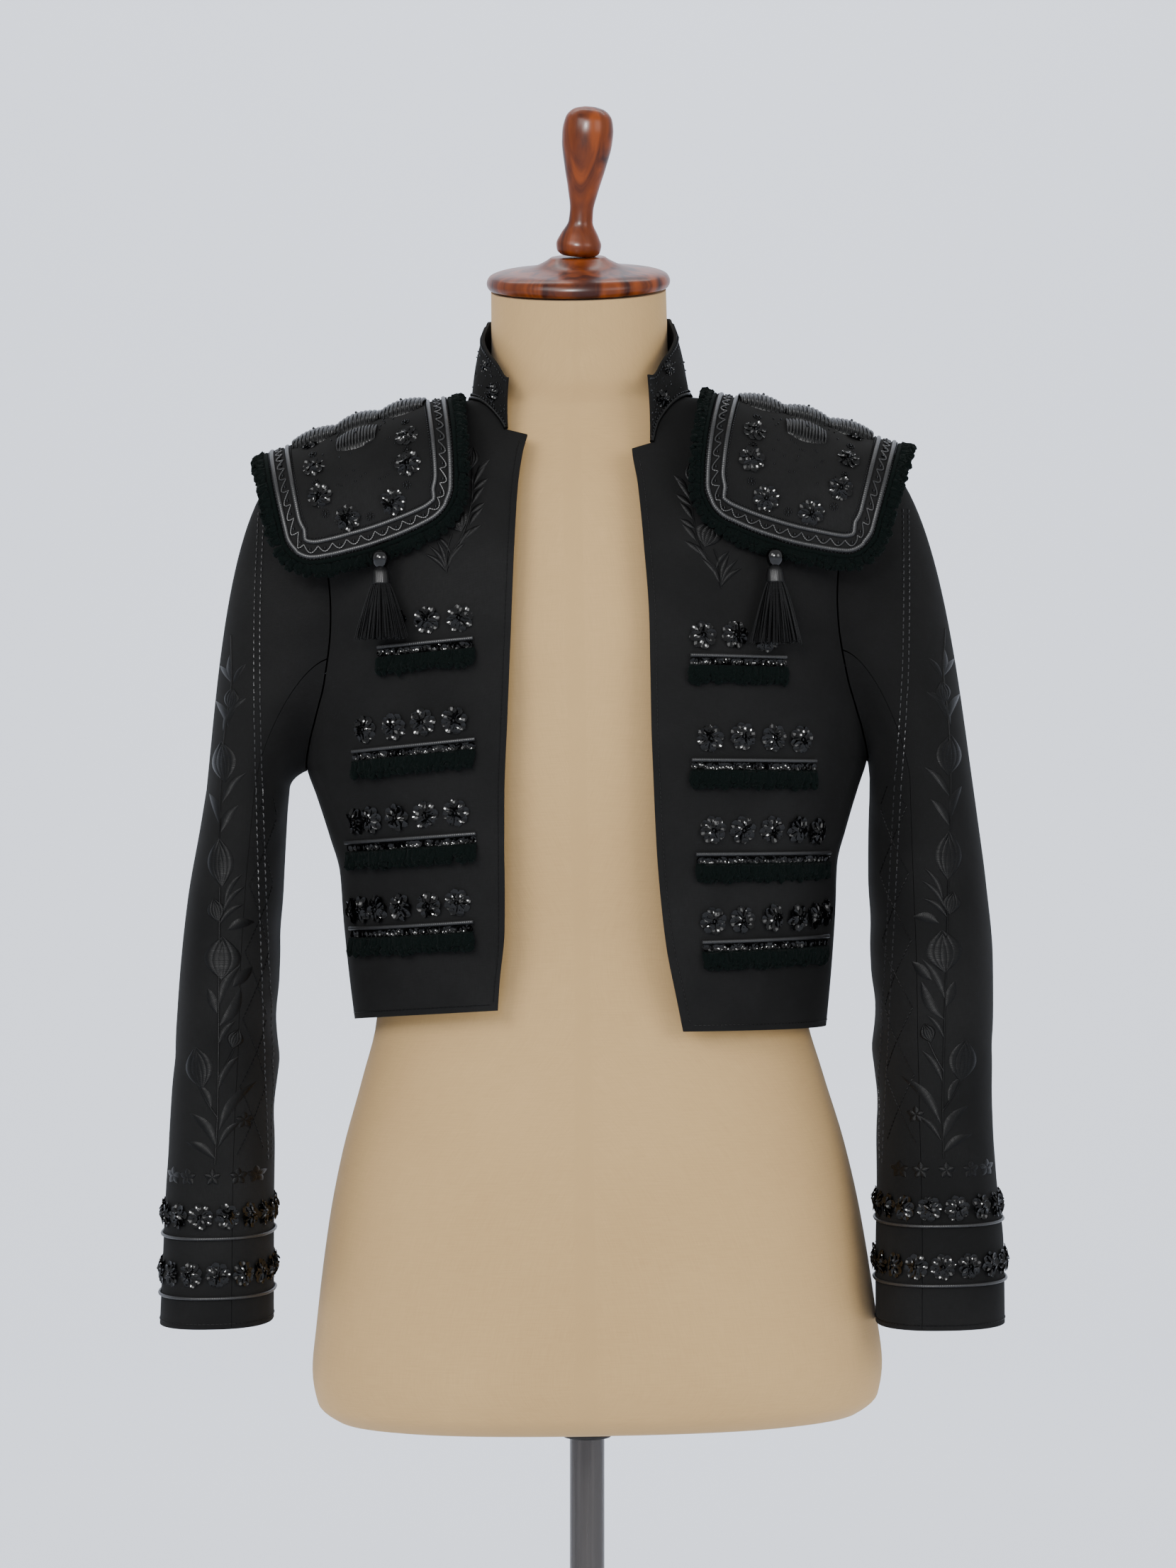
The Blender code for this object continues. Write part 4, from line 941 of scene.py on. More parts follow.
chenilleFringe = {"pitch": 0.0046, "yarn": 0.0026, "length": 0.0080, "neckLength": 0.0066, "stations": 13,
                  "sides": 8, "lumps": 0.13}


def loopPaths(roots, sideways, drop, length, width, proud, stations):
    # each loop: down one leg, round its foot and up the other, bellied outwards
    t = np.linspace(0, 1, stations)[None, :, None]
    reach = np.sin(math.pi * t) ** 0.6
    legs = np.cos(math.pi * t)
    out = unit(np.cross(sideways, drop))
    return (roots[:, None] + sideways[:, None] * legs * width[:, None, None]
            + drop[:, None] * reach * length[:, None, None]
            + out[:, None] * np.sin(math.pi * t) * proud[:, None, None])


def chenilleLoops(paths, facing, yarn):
    # fat yarn whose thickness and surface wander a little, as the pile does
    lumps = 1 + chenilleFringe["lumps"] * chance.normal(0, 1, paths.shape[:2])
    points, faceSets, uv = tubes(paths, facing, yarn * np.clip(lumps, 0.7, 1.35), chenilleFringe["sides"])
    return points + chance.normal(0, yarn * 0.13, points.shape), faceSets, uv


def rimFringe(side):
    # chenille loops standing out round the whole rim from a narrow heading
    name = "shoulderFringeRight" if side < 0 else "shoulderFringeLeft"
    solid = "epaulette_right_fringe" if side < 0 else "epaulette_left_fringe"
    edge, normals, around = plateRim(side, 0.0, 400)
    tangent = unit(np.roll(edge, -1, axis=0) - np.roll(edge, 1, axis=0))
    outward = unit(np.cross(tangent, normals))
    outward = outward * np.sign(np.sum(outward * (edge - edge.mean(axis=0)), axis=1, keepdims=True))
    heading = edge + outward * 0.0024 - normals * 0.0008
    strip = tubes(heading, normals, 0.0020, 8, True, 0.9)
    count = int(around / chenilleFringe["pitch"])
    pick = (np.arange(count) * len(edge) / count).astype(int)
    jitter = chance.normal(0, 1, (count, 3))
    neckEnd = shoulderPlate["middle"][side] - shoulderPlate["halfLength"]
    neckward = np.clip((neckEnd + 0.004 - np.abs(edge[pick, 0])) / 0.010, 0, 1)
    length = chenilleFringe["length"] + (chenilleFringe["neckLength"] - chenilleFringe["length"]) * neckward
    length = length * (1 + 0.06 * jitter[:, 0]) - chenilleFringe["yarn"] * 0.6
    roots = heading[pick] + outward[pick] * 0.0016
    drop = unit(outward[pick] + tangent[pick] * 0.10 * jitter[:, 1:2] + normals[pick] * 0.05 * jitter[:, 2:3])
    width = np.full(count, chenilleFringe["pitch"] * 0.30)
    paths = loopPaths(roots, tangent[pick], drop, length, width, np.full(count, 0.0008),
                      chenilleFringe["stations"])
    ends = np.repeat(normals[pick][:, None], chenilleFringe["stations"], axis=1)
    loops = chenilleLoops(paths, ends + tangent[pick][:, None] * 0.01, chenilleFringe["yarn"])
    points, faceSets, uv = joined([strip, loops])
    addPiece(name, points, faceSets, chenille, uv, [solid])


for side in (-1, 1):
    shoulderPiece(side)
    rimFringe(side)
print("shoulder pieces made")


# Braid bars on the fronts

braidBars = {
    "places": columns("side innerX innerHeight outerX outerHeight", [
        (-1, 0.0752, 1.0044, 0.1401, 0.9998),
        (-1, 0.0750, 0.9363, 0.1592, 0.9295),
        (-1, 0.0756, 0.8725, 0.1660, 0.8673),
        (-1, 0.0786, 0.8126, 0.1650, 0.8073),
        (1, 0.0710, 0.9903, 0.1362, 0.9882),
        (1, 0.0707, 0.9197, 0.1558, 0.9177),
        (1, 0.0725, 0.8559, 0.1660, 0.8547),
        (1, 0.0758, 0.7959, 0.1640, 0.7963),
    ]),
    "piping": 0.00135,
    "bandHeight": 0.0075,
    "loopLength": 0.0110,
    "loopPitch": 0.0043,
    "yarn": 0.0026,
    "sequinRadius": 0.0024,
    "sequinPitch": 0.0019,
}


def onFront(side, across, height):
    # a place on a front by its distance from the middle and its height, with its normal
    angle = side * aroundAt(across, height)
    return jacketPoint(angle, height), normalsOf(jacketPoint, angle, height + 0 * angle, bodyStep)


def cuppedSequin(sides=8):
    # a shallow faceted cup with a thickness, of unit radius, facing +Z
    turn = np.arange(sides) * full / sides
    rings = np.array([(0.12, 0.10), (0.62, 0.13), (1.0, 0.34), (1.0, 0.26), (0.30, 0.0)])
    points = np.stack(np.broadcast_arrays(rings[:, :1] * np.cos(turn), rings[:, :1] * np.sin(turn),
                                          rings[:, 1:]), -1)
    faces = gridFaces(len(rings), sides, True)
    last = (len(rings) - 1) * sides
    hole = np.arange(sides)
    closing = np.stack([last + hole, last + np.roll(hole, -1), np.roll(hole, -1), hole], -1)
    flat = points.reshape(-1, 3)
    return flat, [np.concatenate([faces, closing])], flat[:, :2] * 0.5


def turnedFrames(right, up, out, tilt):
    # each frame's out axis tipped by tilt (two small numbers) towards its right and up axes
    lean = unit(out + right * tilt[:, :1] + up * tilt[:, 1:2])
    side = unit(np.cross(up, lean))
    return np.stack([side, np.cross(lean, side), lean], -1)


def braidBar(index, side, innerX, innerHeight, outerX, outerHeight):
    label = ("Right" if side < 0 else "Left") + str(index)
    solid = ("braid_right_" if side < 0 else "braid_left_") + str(index)
    share = np.linspace(0, 1, 90)
    across = innerX + (outerX - innerX) * share
    height = innerHeight + (outerHeight - innerHeight) * share
    top, out = onFront(side, across, height)
    low, lowOut = onFront(side, across, height - braidBars["bandHeight"])
    tangent = unit(np.gradient(top, axis=0))
    down = unit(low - top)
    piping = tubes(top + out * 0.0017, out, braidBars["piping"], 10)
    addPiece("barPiping" + label, piping[0], piping[1], satinCord, piping[2])
    heading = tubes(low + lowOut * 0.0013, lowOut, np.full(len(low), 0.0013), 8)
    span = np.linalg.norm(np.diff(low, axis=0), axis=1).sum()
    count = int(span / braidBars["loopPitch"])
    pick = np.linspace(3, len(low) - 4, count).astype(int)
    jitter = chance.normal(0, 1, (count, 4))
    length = braidBars["loopLength"] * (1 + 0.05 * jitter[:, 0]) - braidBars["yarn"] * 0.5
    drop = unit(down[pick] + tangent[pick] * 0.08 * jitter[:, 1:2] + lowOut[pick] * 0.10)
    roots = low[pick] + lowOut[pick] * 0.0022
    paths = loopPaths(roots, tangent[pick], drop, length, np.full(count, braidBars["loopPitch"] * 0.30),
                      0.0010 + 0.0003 * jitter[:, 2], chenilleFringe["stations"])
    facing = np.repeat(lowOut[pick][:, None], chenilleFringe["stations"], axis=1)
    facing = facing + tangent[pick][:, None] * 0.01
    loops = chenilleLoops(paths, facing, braidBars["yarn"])
    points, faceSets, uv = joined([heading, loops])
    addPiece("barFringe" + label, points, faceSets, chenille, uv, [solid])
    count = int(span / braidBars["sequinPitch"])
    pick = np.linspace(2, len(low) - 3, count).astype(int)
    middle = top[pick] + (low[pick] - top[pick]) * 0.55 + out[pick] * 0.0012
    tilt = chance.normal(0, 0.20, (count, 2))
    frames = turnedFrames(tangent[pick], -down[pick], out[pick], tilt)
    discs = copies(cuppedSequin(), middle, frames, np.full(count, braidBars["sequinRadius"]))
    addPiece("barSequins" + label, discs[0], discs[1], sequinGloss, discs[2])


barCount = {-1: 0, 1: 0}
for side, *ends in zip(*braidBars["places"].values()):
    side = int(side)
    barCount[side] += 1
    braidBar(barCount[side], side, *ends)
print("braid bars made")


# Sequin flowers, beads and stitches, set on the cloth

def bodySpot(side):
    return partial(onFront, side)


def sleeveSpot(side):
    surface = partial(sleevePoint, side)

    def spot(turn, rise):
        return surface(turn, rise), normalsOf(surface, turn, rise, (0.003, 0.006)) * -side
    return spot


def plateSpot(side):
    def spot(along, around):
        return platePoint(side, along, around), plateNormals(side, along, around)
    return spot


def seenAt(surface, low, high, x, z):
    # the parameters at which a surface shows at x and height z: nearest of a coarse grid, then Newton steps
    x = np.asarray(x, float).ravel()
    z = np.asarray(z, float).ravel()
    first, second = np.meshgrid(np.linspace(low[0], high[0], 44), np.linspace(low[1], high[1], 60),
                                indexing="ij")
    grid = surface(first, second).reshape(-1, 3)
    gap = (grid[None, :, 0] - x[:, None]) ** 2 + (grid[None, :, 2] - z[:, None]) ** 2
    nearest = gap.argmin(axis=1)
    a = first.ravel()[nearest]
    b = second.ravel()[nearest]
    step = 1e-4
    for _ in range(6):
        here = surface(a, b)
        alongA = (surface(a + step, b) - here) / step
        alongB = (surface(a, b + step) - here) / step
        missX = x - here[:, 0]
        missZ = z - here[:, 2]
        area = alongA[:, 0] * alongB[:, 2] - alongA[:, 2] * alongB[:, 0]
        area = np.where(np.abs(area) < 1e-8, 1e-8, area)
        a = np.clip(a + (missX * alongB[:, 2] - missZ * alongB[:, 0]) / area, low[0], high[0])
        b = np.clip(b + (alongA[:, 0] * missZ - alongA[:, 2] * missX) / area, low[1], high[1])
    return a, b


def sleeveAt(side, x, z):
    return seenAt(partial(sleevePoint, side), (0.01, 0.0), (0.47, 1.96), x, z)


def spotByHeight(side, part):
    # a place on the sleeve or the front by its x and height
    def spot(x, z):
        shape = np.shape(x)
        if part == "sleeve":
            points, normals = sleeveSpot(side)(*sleeveAt(side, x, z))
        else:
            points, normals = onFront(side, side * np.ravel(x), np.ravel(z))
        return points.reshape(*shape, 3), normals.reshape(*shape, 3)
    return spot


flowerShape = {"petals": 8, "radius": 0.0095, "reach": 0.56, "petalLong": 0.46, "petalWide": 0.37,
               "ring": 0.26, "ringBeads": 12, "heart": 0.105, "bead": 0.046, "rimBead": 0.040}


def facingFrames(normals):
    up = np.broadcast_to(np.array([0.0, 0.0, 1.0]), normals.shape)
    right = unit(np.cross(up, normals))
    return right, np.cross(normals, right)


def flowerParts(points, normals, radius):
    # eight cupped petals tipped outwards, a ring of beads, a centre bead and a bead at each petal's tip
    points = points.reshape(-1, 3)
    normals = normals.reshape(-1, 3)
    count = len(points)
    size = np.broadcast_to(np.asarray(radius, float), (count,))[:, None, None]
    right, top = facingFrames(normals)

    def ringOf(number, share, lift, phase):
        turn = np.arange(number) * full / number + phase + chance.uniform(-0.06, 0.06, (count, 1))
        outward = right[:, None] * np.cos(turn)[..., None] + top[:, None] * np.sin(turn)[..., None]
        return points[:, None] + (outward * share + normals[:, None] * lift) * size, outward

    petals = flowerShape["petals"]
    centres, outward = ringOf(petals, flowerShape["reach"], 0.11, 0.2)
    facing = unit(normals[:, None] + outward * (0.30 + chance.normal(0, 0.16, (count, petals, 1)))
                  + chance.normal(0, 0.13, (count, petals, 3)))
    along = unit(outward - facing * np.sum(outward * facing, axis=-1, keepdims=True))
    frames = np.stack([np.cross(along, facing), along, facing], -1).reshape(-1, 3, 3)
    petalSize = np.array([flowerShape["petalWide"], flowerShape["petalLong"],
                          flowerShape["petalWide"]]) * size
    sizes = np.broadcast_to(petalSize, (count, petals, 3)).reshape(-1, 3)
    sequins = copies(cuppedSequin(), centres.reshape(-1, 3), frames, sizes)
    beads = []
    for number, share, lift, ball in ((flowerShape["ringBeads"], flowerShape["ring"], 0.30,
                                       flowerShape["bead"]),
                                      (1, 0.0, 0.36, flowerShape["heart"]),
                                      (petals, 0.99, 0.12, flowerShape["rimBead"])):
        centres, _ = ringOf(number, share, lift, 0.2)
        sizes = np.broadcast_to(ball * size, (count, number, 3)).reshape(-1, 3)
        straight = np.broadcast_to(np.eye(3), (count * number, 3, 3))
        beads.append(copies(bead(), centres.reshape(-1, 3), straight, sizes))
    return sequins, joined(beads)


def beadDots(points, normals, radius):
    points = points.reshape(-1, 3)
    normals = normals.reshape(-1, 3)
    straight = np.broadcast_to(np.eye(3), (len(points), 3, 3))
    sizes = np.broadcast_to(np.asarray(radius, float).reshape(-1, 1), (len(points), 3))
    return copies(bead(), points + normals * sizes * 0.6, straight, sizes)


def beadRings(points, normals, radius, number=9):
    # small rings of beads round one larger bead
    points = points.reshape(-1, 3)
    normals = normals.reshape(-1, 3)
    right, top = facingFrames(normals)
    turn = np.arange(number) * full / number
    onRing = right[:, None] * np.cos(turn)[:, None] + top[:, None] * np.sin(turn)[:, None]
    spots = points[:, None] + onRing * radius
    facing = np.repeat(normals[:, None], number, axis=1)
    return joined([beadDots(spots, facing, radius * 0.26), beadDots(points, normals, radius * 0.42)])


def scattered(label, points, normals, radius):
    sequins, beads = flowerParts(points, normals, radius)
    addPiece(label + "Sequins", sequins[0], sequins[1], sequinGloss, sequins[2])
    addPiece(label + "Beads", beads[0], beads[1], beadGloss, beads[2])


def stitchRow(spot, first, second, pitch, length, thread):
    # short raised stitches along a path on the cloth, each a small arch of thread
    line, _ = spot(first, second)
    run = np.concatenate([[0], np.cumsum(np.linalg.norm(np.diff(line, axis=0), axis=1))])
    starts = np.arange(0, run[-1] - length, pitch)
    t = np.linspace(0, 1, 4)
    at = starts[:, None] + length * t
    points, normals = spot(np.interp(at, run, first), np.interp(at, run, second))
    lift = thread * (0.2 + 0.8 * np.sin(math.pi * t))[None, :, None]
    return tubes(points + normals * lift, normals, thread, 5)


def addParts(name, parts, material):
    points, faceSets, uv = joined(parts)
    return addPiece(name, points, faceSets, material, uv)


# Sequin flowers over the bars

chestFlowers = columns("side across height", [
    (-1, 0.1292, 1.0175), (-1, 0.1064, 1.0176), (-1, 0.0842, 1.0181),
    (-1, 0.1507, 0.9444), (-1, 0.1304, 0.9459), (-1, 0.1105, 0.9485), (-1, 0.0888, 0.9491),
    (-1, 0.1586, 0.8817), (-1, 0.1475, 0.8829), (-1, 0.1296, 0.8841), (-1, 0.1097, 0.8856),
    (-1, 0.0889, 0.8867),
    (-1, 0.1631, 0.8199), (-1, 0.1558, 0.8207), (-1, 0.1447, 0.8215), (-1, 0.1282, 0.8226),
    (-1, 0.1084, 0.8237),
    (-1, 0.0890, 0.8258),
    (1, 0.0799, 1.0037), (1, 0.1017, 1.0038), (1, 0.1229, 1.0010),
    (1, 0.0835, 0.9340), (1, 0.1058, 0.9351), (1, 0.1270, 0.9337), (1, 0.1459, 0.9324),
    (1, 0.0844, 0.8721), (1, 0.1047, 0.8717), (1, 0.1250, 0.8714), (1, 0.1433, 0.8711), (1, 0.1569, 0.8694),
    (1, 0.0838, 0.8102), (1, 0.1036, 0.8104), (1, 0.1249, 0.8110), (1, 0.1423, 0.8102), (1, 0.1549, 0.8109),
    (1, 0.1631, 0.8127),
])

for side in (-1, 1):
    own = chestFlowers["side"] == side
    points, normals = onFront(side, chestFlowers["across"][own], chestFlowers["height"][own])
    scattered("chest" + ("Right" if side < 0 else "Left"), points, normals, flowerShape["radius"])
print("chest flowers made")


# Ornament of the shoulder pieces: two cords with a scalloped band between, flowers in a U and coiled purl

plateOrnament = {
    "edgeBead": 0.00062, "edgePitch": 0.0024,
    "outerCord": (0.0020, 0.0015), "innerCord": (0.0128, 0.0015),  # inset and radius
    "scallop": (0.0048, 0.0096), "scallopPitch": 0.0103, "scallopStations": 1200, "scallopCord": 0.00055,
    "scallopBead": 0.0011, "innerBeads": 0.0152,
    "flowers": columns("along around size", [
        (-0.51, 0.60, 0.0084), (-0.50, 0.79, 0.0092), (-0.28, 0.925, 0.0092), (0.25, 0.930, 0.0092),
        (0.53, 0.81, 0.0088), (0.53, 0.60, 0.0082), (0.53, 0.34, 0.0062),
    ]),
    "rings": columns("along around", [
        (-0.52, 0.46), (-0.50, 0.70), (-0.46, 0.880), (-0.01, 0.945), (0.49, 0.890), (0.54, 0.72),
        (0.52, 0.48),
    ]),
    "purl": columns("along around width span tall coils slant", [
        (0.02, 0.46, 0.026, 0.105, 0.0030, 13, 0.80), (-0.52, 0.19, 0.029, 0.150, 0.0056, 11, 0.80),
        (-0.02, 0.19, 0.029, 0.150, 0.0060, 11, 0.80), (0.46, 0.19, 0.029, 0.150, 0.0056, 11, 0.80),
    ]),
    "seeds": 46,
}


def pads(top, bottom, flat):
    # closed low mounds, each between an upper and a lower grid
    count, rows, cols = top.shape[:3]
    per = rows * cols
    rim = np.concatenate([np.arange(cols), np.arange(1, rows) * cols + cols - 1,
                          (rows - 1) * cols + np.arange(cols - 2, -1, -1), np.arange(rows - 2, 0, -1) * cols])
    after = np.roll(rim, -1)
    face = gridFaces(rows, cols)
    one = np.concatenate([face, face[:, ::-1] + per, np.stack([after, rim, per + rim, per + after], -1)])
    shift = (np.arange(count) * 2 * per)[:, None, None]
    points = np.concatenate([top.reshape(count, per, 3), bottom.reshape(count, per, 3)], axis=1)
    uv = np.concatenate([flat.reshape(count, per, 2)] * 2, axis=1)
    return points.reshape(-1, 3), [(one[None] + shift).reshape(-1, 4)], uv.reshape(-1, 2)


def purlFan(side, along, around, width, span, tall, coils, slant):
    # arched coils side by side, the middle ones longest and highest: height * sqrt(1 - s^2) * (1 - 0.5 t^2)
    count = int(coils)
    t = np.linspace(-1, 1, count)[:, None]
    s = np.linspace(-1, 1, 13)[None]
    reach = span * (1 - 0.35 * t ** 2)
    across = along + (t + slant * s * 2 / count) * width / 2 / shoulderPlate["halfLength"]
    points, normals = plateSpot(side)(across, around + s * reach)
    lift = tall * (1 - 0.5 * t ** 2) * np.sqrt(np.maximum(1 - s ** 2, 0)) + 0.0004
    top = points + normals * lift[..., None]
    flat = np.stack(np.broadcast_arrays(t * width / 2, s * reach), -1)
    padding = pads((top - normals * 0.0004)[None], (points - normals * 0.0003)[None], flat[None])
    coil = width / count * 0.46 * np.clip(1.25 - s ** 2, 0.35, 1) * np.ones((count, 1))
    return joined([padding, tubes(top, normals, coil, 8)])


def plateFinery(side):
    label = "Right" if side < 0 else "Left"
    look = plateOrnament
    spot = plateSpot(side)
    cords = []
    for inset, radius in (look["outerCord"], look["innerCord"]):
        path, normals, _ = plateRim(side, inset, 360)
        cords.append(tubes(path + normals * radius * 0.55, normals, radius, 10, True, 0.75))
    rounds = look["scallopStations"]
    outer, outerNormals, around = plateRim(side, look["scallop"][0], rounds)
    inner, _, _ = plateRim(side, look["scallop"][1], rounds)
    count = int(around / look["scallopPitch"])
    wave = np.abs(np.sin(math.pi * count * np.arange(rounds) / rounds))[:, None]
    path = inner + (outer - inner) * wave + outerNormals * look["scallopCord"]
    cords.append(tubes(path, outerNormals, look["scallopCord"], 6, True))
    addParts("plateCords" + label, cords, satinCord)
    cells = ((np.arange(count) + 0.5) * rounds / count).astype(int)
    middle = outer[cells] * 0.45 + inner[cells] * 0.55
    dots = [beadDots(middle, outerNormals[cells], look["scallopBead"])]
    for inset in (0.0002, look["innerBeads"]):
        edge, edgeNormals, _ = plateRim(side, inset, int(around / look["edgePitch"]))
        dots.append(beadDots(edge, edgeNormals, look["edgeBead"]))
    dots.append(beadRings(*spot(look["rings"]["along"], look["rings"]["around"]), 0.0024))
    seeds = chance.uniform(-1, 1, (look["seeds"], 2))
    dots.append(beadDots(*spot(seeds[:, 0] * 0.42, 0.52 + seeds[:, 1] * 0.30), 0.0006))
    addParts("plateBeads" + label, dots, beadGloss)
    points, normals = spot(look["flowers"]["along"], look["flowers"]["around"])
    scattered("plate" + label, points, normals, look["flowers"]["size"])
    backs, backNormals = spot(look["flowers"]["along"][1:6], -look["flowers"]["around"][1:6])
    scattered("plateBack" + label, backs, backNormals, look["flowers"]["size"][1:6])
    mounds = []
    hearts = []
    for fan in zip(*look["purl"].values()):
        mounds.append(purlFan(side, *fan))
        point, normal = spot(np.array([fan[0]]), np.array([fan[1]]))
        hearts.append(beadDots(point + normal * (fan[4] + fan[2] / fan[5] * 0.4), normal, 0.0010))
    addParts("platePurl" + label, mounds, purlWire)
    addParts("platePurlHearts" + label, hearts, beadGloss)


for side in (-1, 1):
    plateFinery(side)
print("shoulder ornament made")


# Satin stitch: leaves, roses, buds and stars as low padded shapes

def sleeveReach(side):
    # how far out the sleeve shows at each height, as a table
    turn, rise = np.meshgrid(np.linspace(0.02, 0.48, 60), np.linspace(0, 1.96, 240), indexing="ij")
    points = sleevePoint(side, turn, rise).reshape(-1, 3)
    step = 0.008
    row = (points[:, 2] / step).astype(int)
    reach = np.zeros(row.max() + 1)
    np.maximum.at(reach, row, side * points[:, 0])
    known = reach > 0
    return (np.arange(len(reach))[known] + 0.5) * step, reach[known] - 0.0025


def satinLeaves(spot, leaves, side=0):
    # each leaf: a bent midrib from its base, half width * sin(pi t)^0.8, crowned across as 1 - s^2
    baseX, baseZ, angle, length, half, bend, tall = np.array(leaves, float).T[:, :, None, None]
    angle = np.radians(angle)
    t = np.linspace(0, 1, 11)[None, :, None]
    s = np.linspace(-1, 1, 7)[None, None, :]
    width = half * np.maximum(np.sin(math.pi * t), 0.05) ** 0.8
    forward = length * t
    sideways = bend * length * np.sin(math.pi * t) + s * width
    x = baseX + forward * np.cos(angle) - sideways * np.sin(angle)
    z = baseZ + forward * np.sin(angle) + sideways * np.cos(angle)
    if side:
        # a leaf that would pass the sleeve's outline is moved in whole
        over = side * x - np.interp(z, *sleeveReach(side))
        x = x - side * np.maximum(over.max(axis=(1, 2), keepdims=True), 0)
    points, normals = spot(x, z)
    crown = (tall * (1 - 0.85 * s ** 2) * np.maximum(np.sin(math.pi * t), 0.12) ** 0.5)[..., None]
    flat = np.stack(np.broadcast_arrays(forward, s * width), -1)
    return pads(points + normals * crown, points - normals * 0.0003, flat)


def roseLeaves(x, z, wide, tall, tilt):
    # petals fanned from the foot and bent round each other, outer ones last
    leaves = []
    foot = np.array([x, z]) - np.array([-math.sin(tilt), math.cos(tilt)]) * tall / 2
    for bend, share, half in ((0.0, 0.74, 0.17), (-0.15, 0.86, 0.15), (0.15, 0.86, 0.15), (-0.30, 0.95, 0.14),
                              (0.30, 0.95, 0.14)):
        leaves.append((foot[0], foot[1], 90 + math.degrees(tilt), tall * share, wide * half,
                       bend * wide / tall * 1.15, 0.0010))
    return leaves


def starLeaves(x, z, radius, petals=5):
    return [(x, z, 90 + k * 360 / petals, radius, radius * 0.33, 0.0, 0.0008) for k in range(petals)]


def stemCords(spot, stems, thread=0.00055):
    # thin cords of stem stitch through the places of each stem
    cords = []
    for stem in stems:
        way = np.array(stem, float)
        at = np.linspace(0, len(way) - 1, 24)
        table = {"row": np.arange(len(way), dtype=float), "x": way[:, 0], "z": way[:, 1]}
        points, normals = spot(curveThrough(table, "x", at), curveThrough(table, "z", at))
        cords.append(tubes(points + normals * thread * 0.4, normals, thread, 6))
    return cords


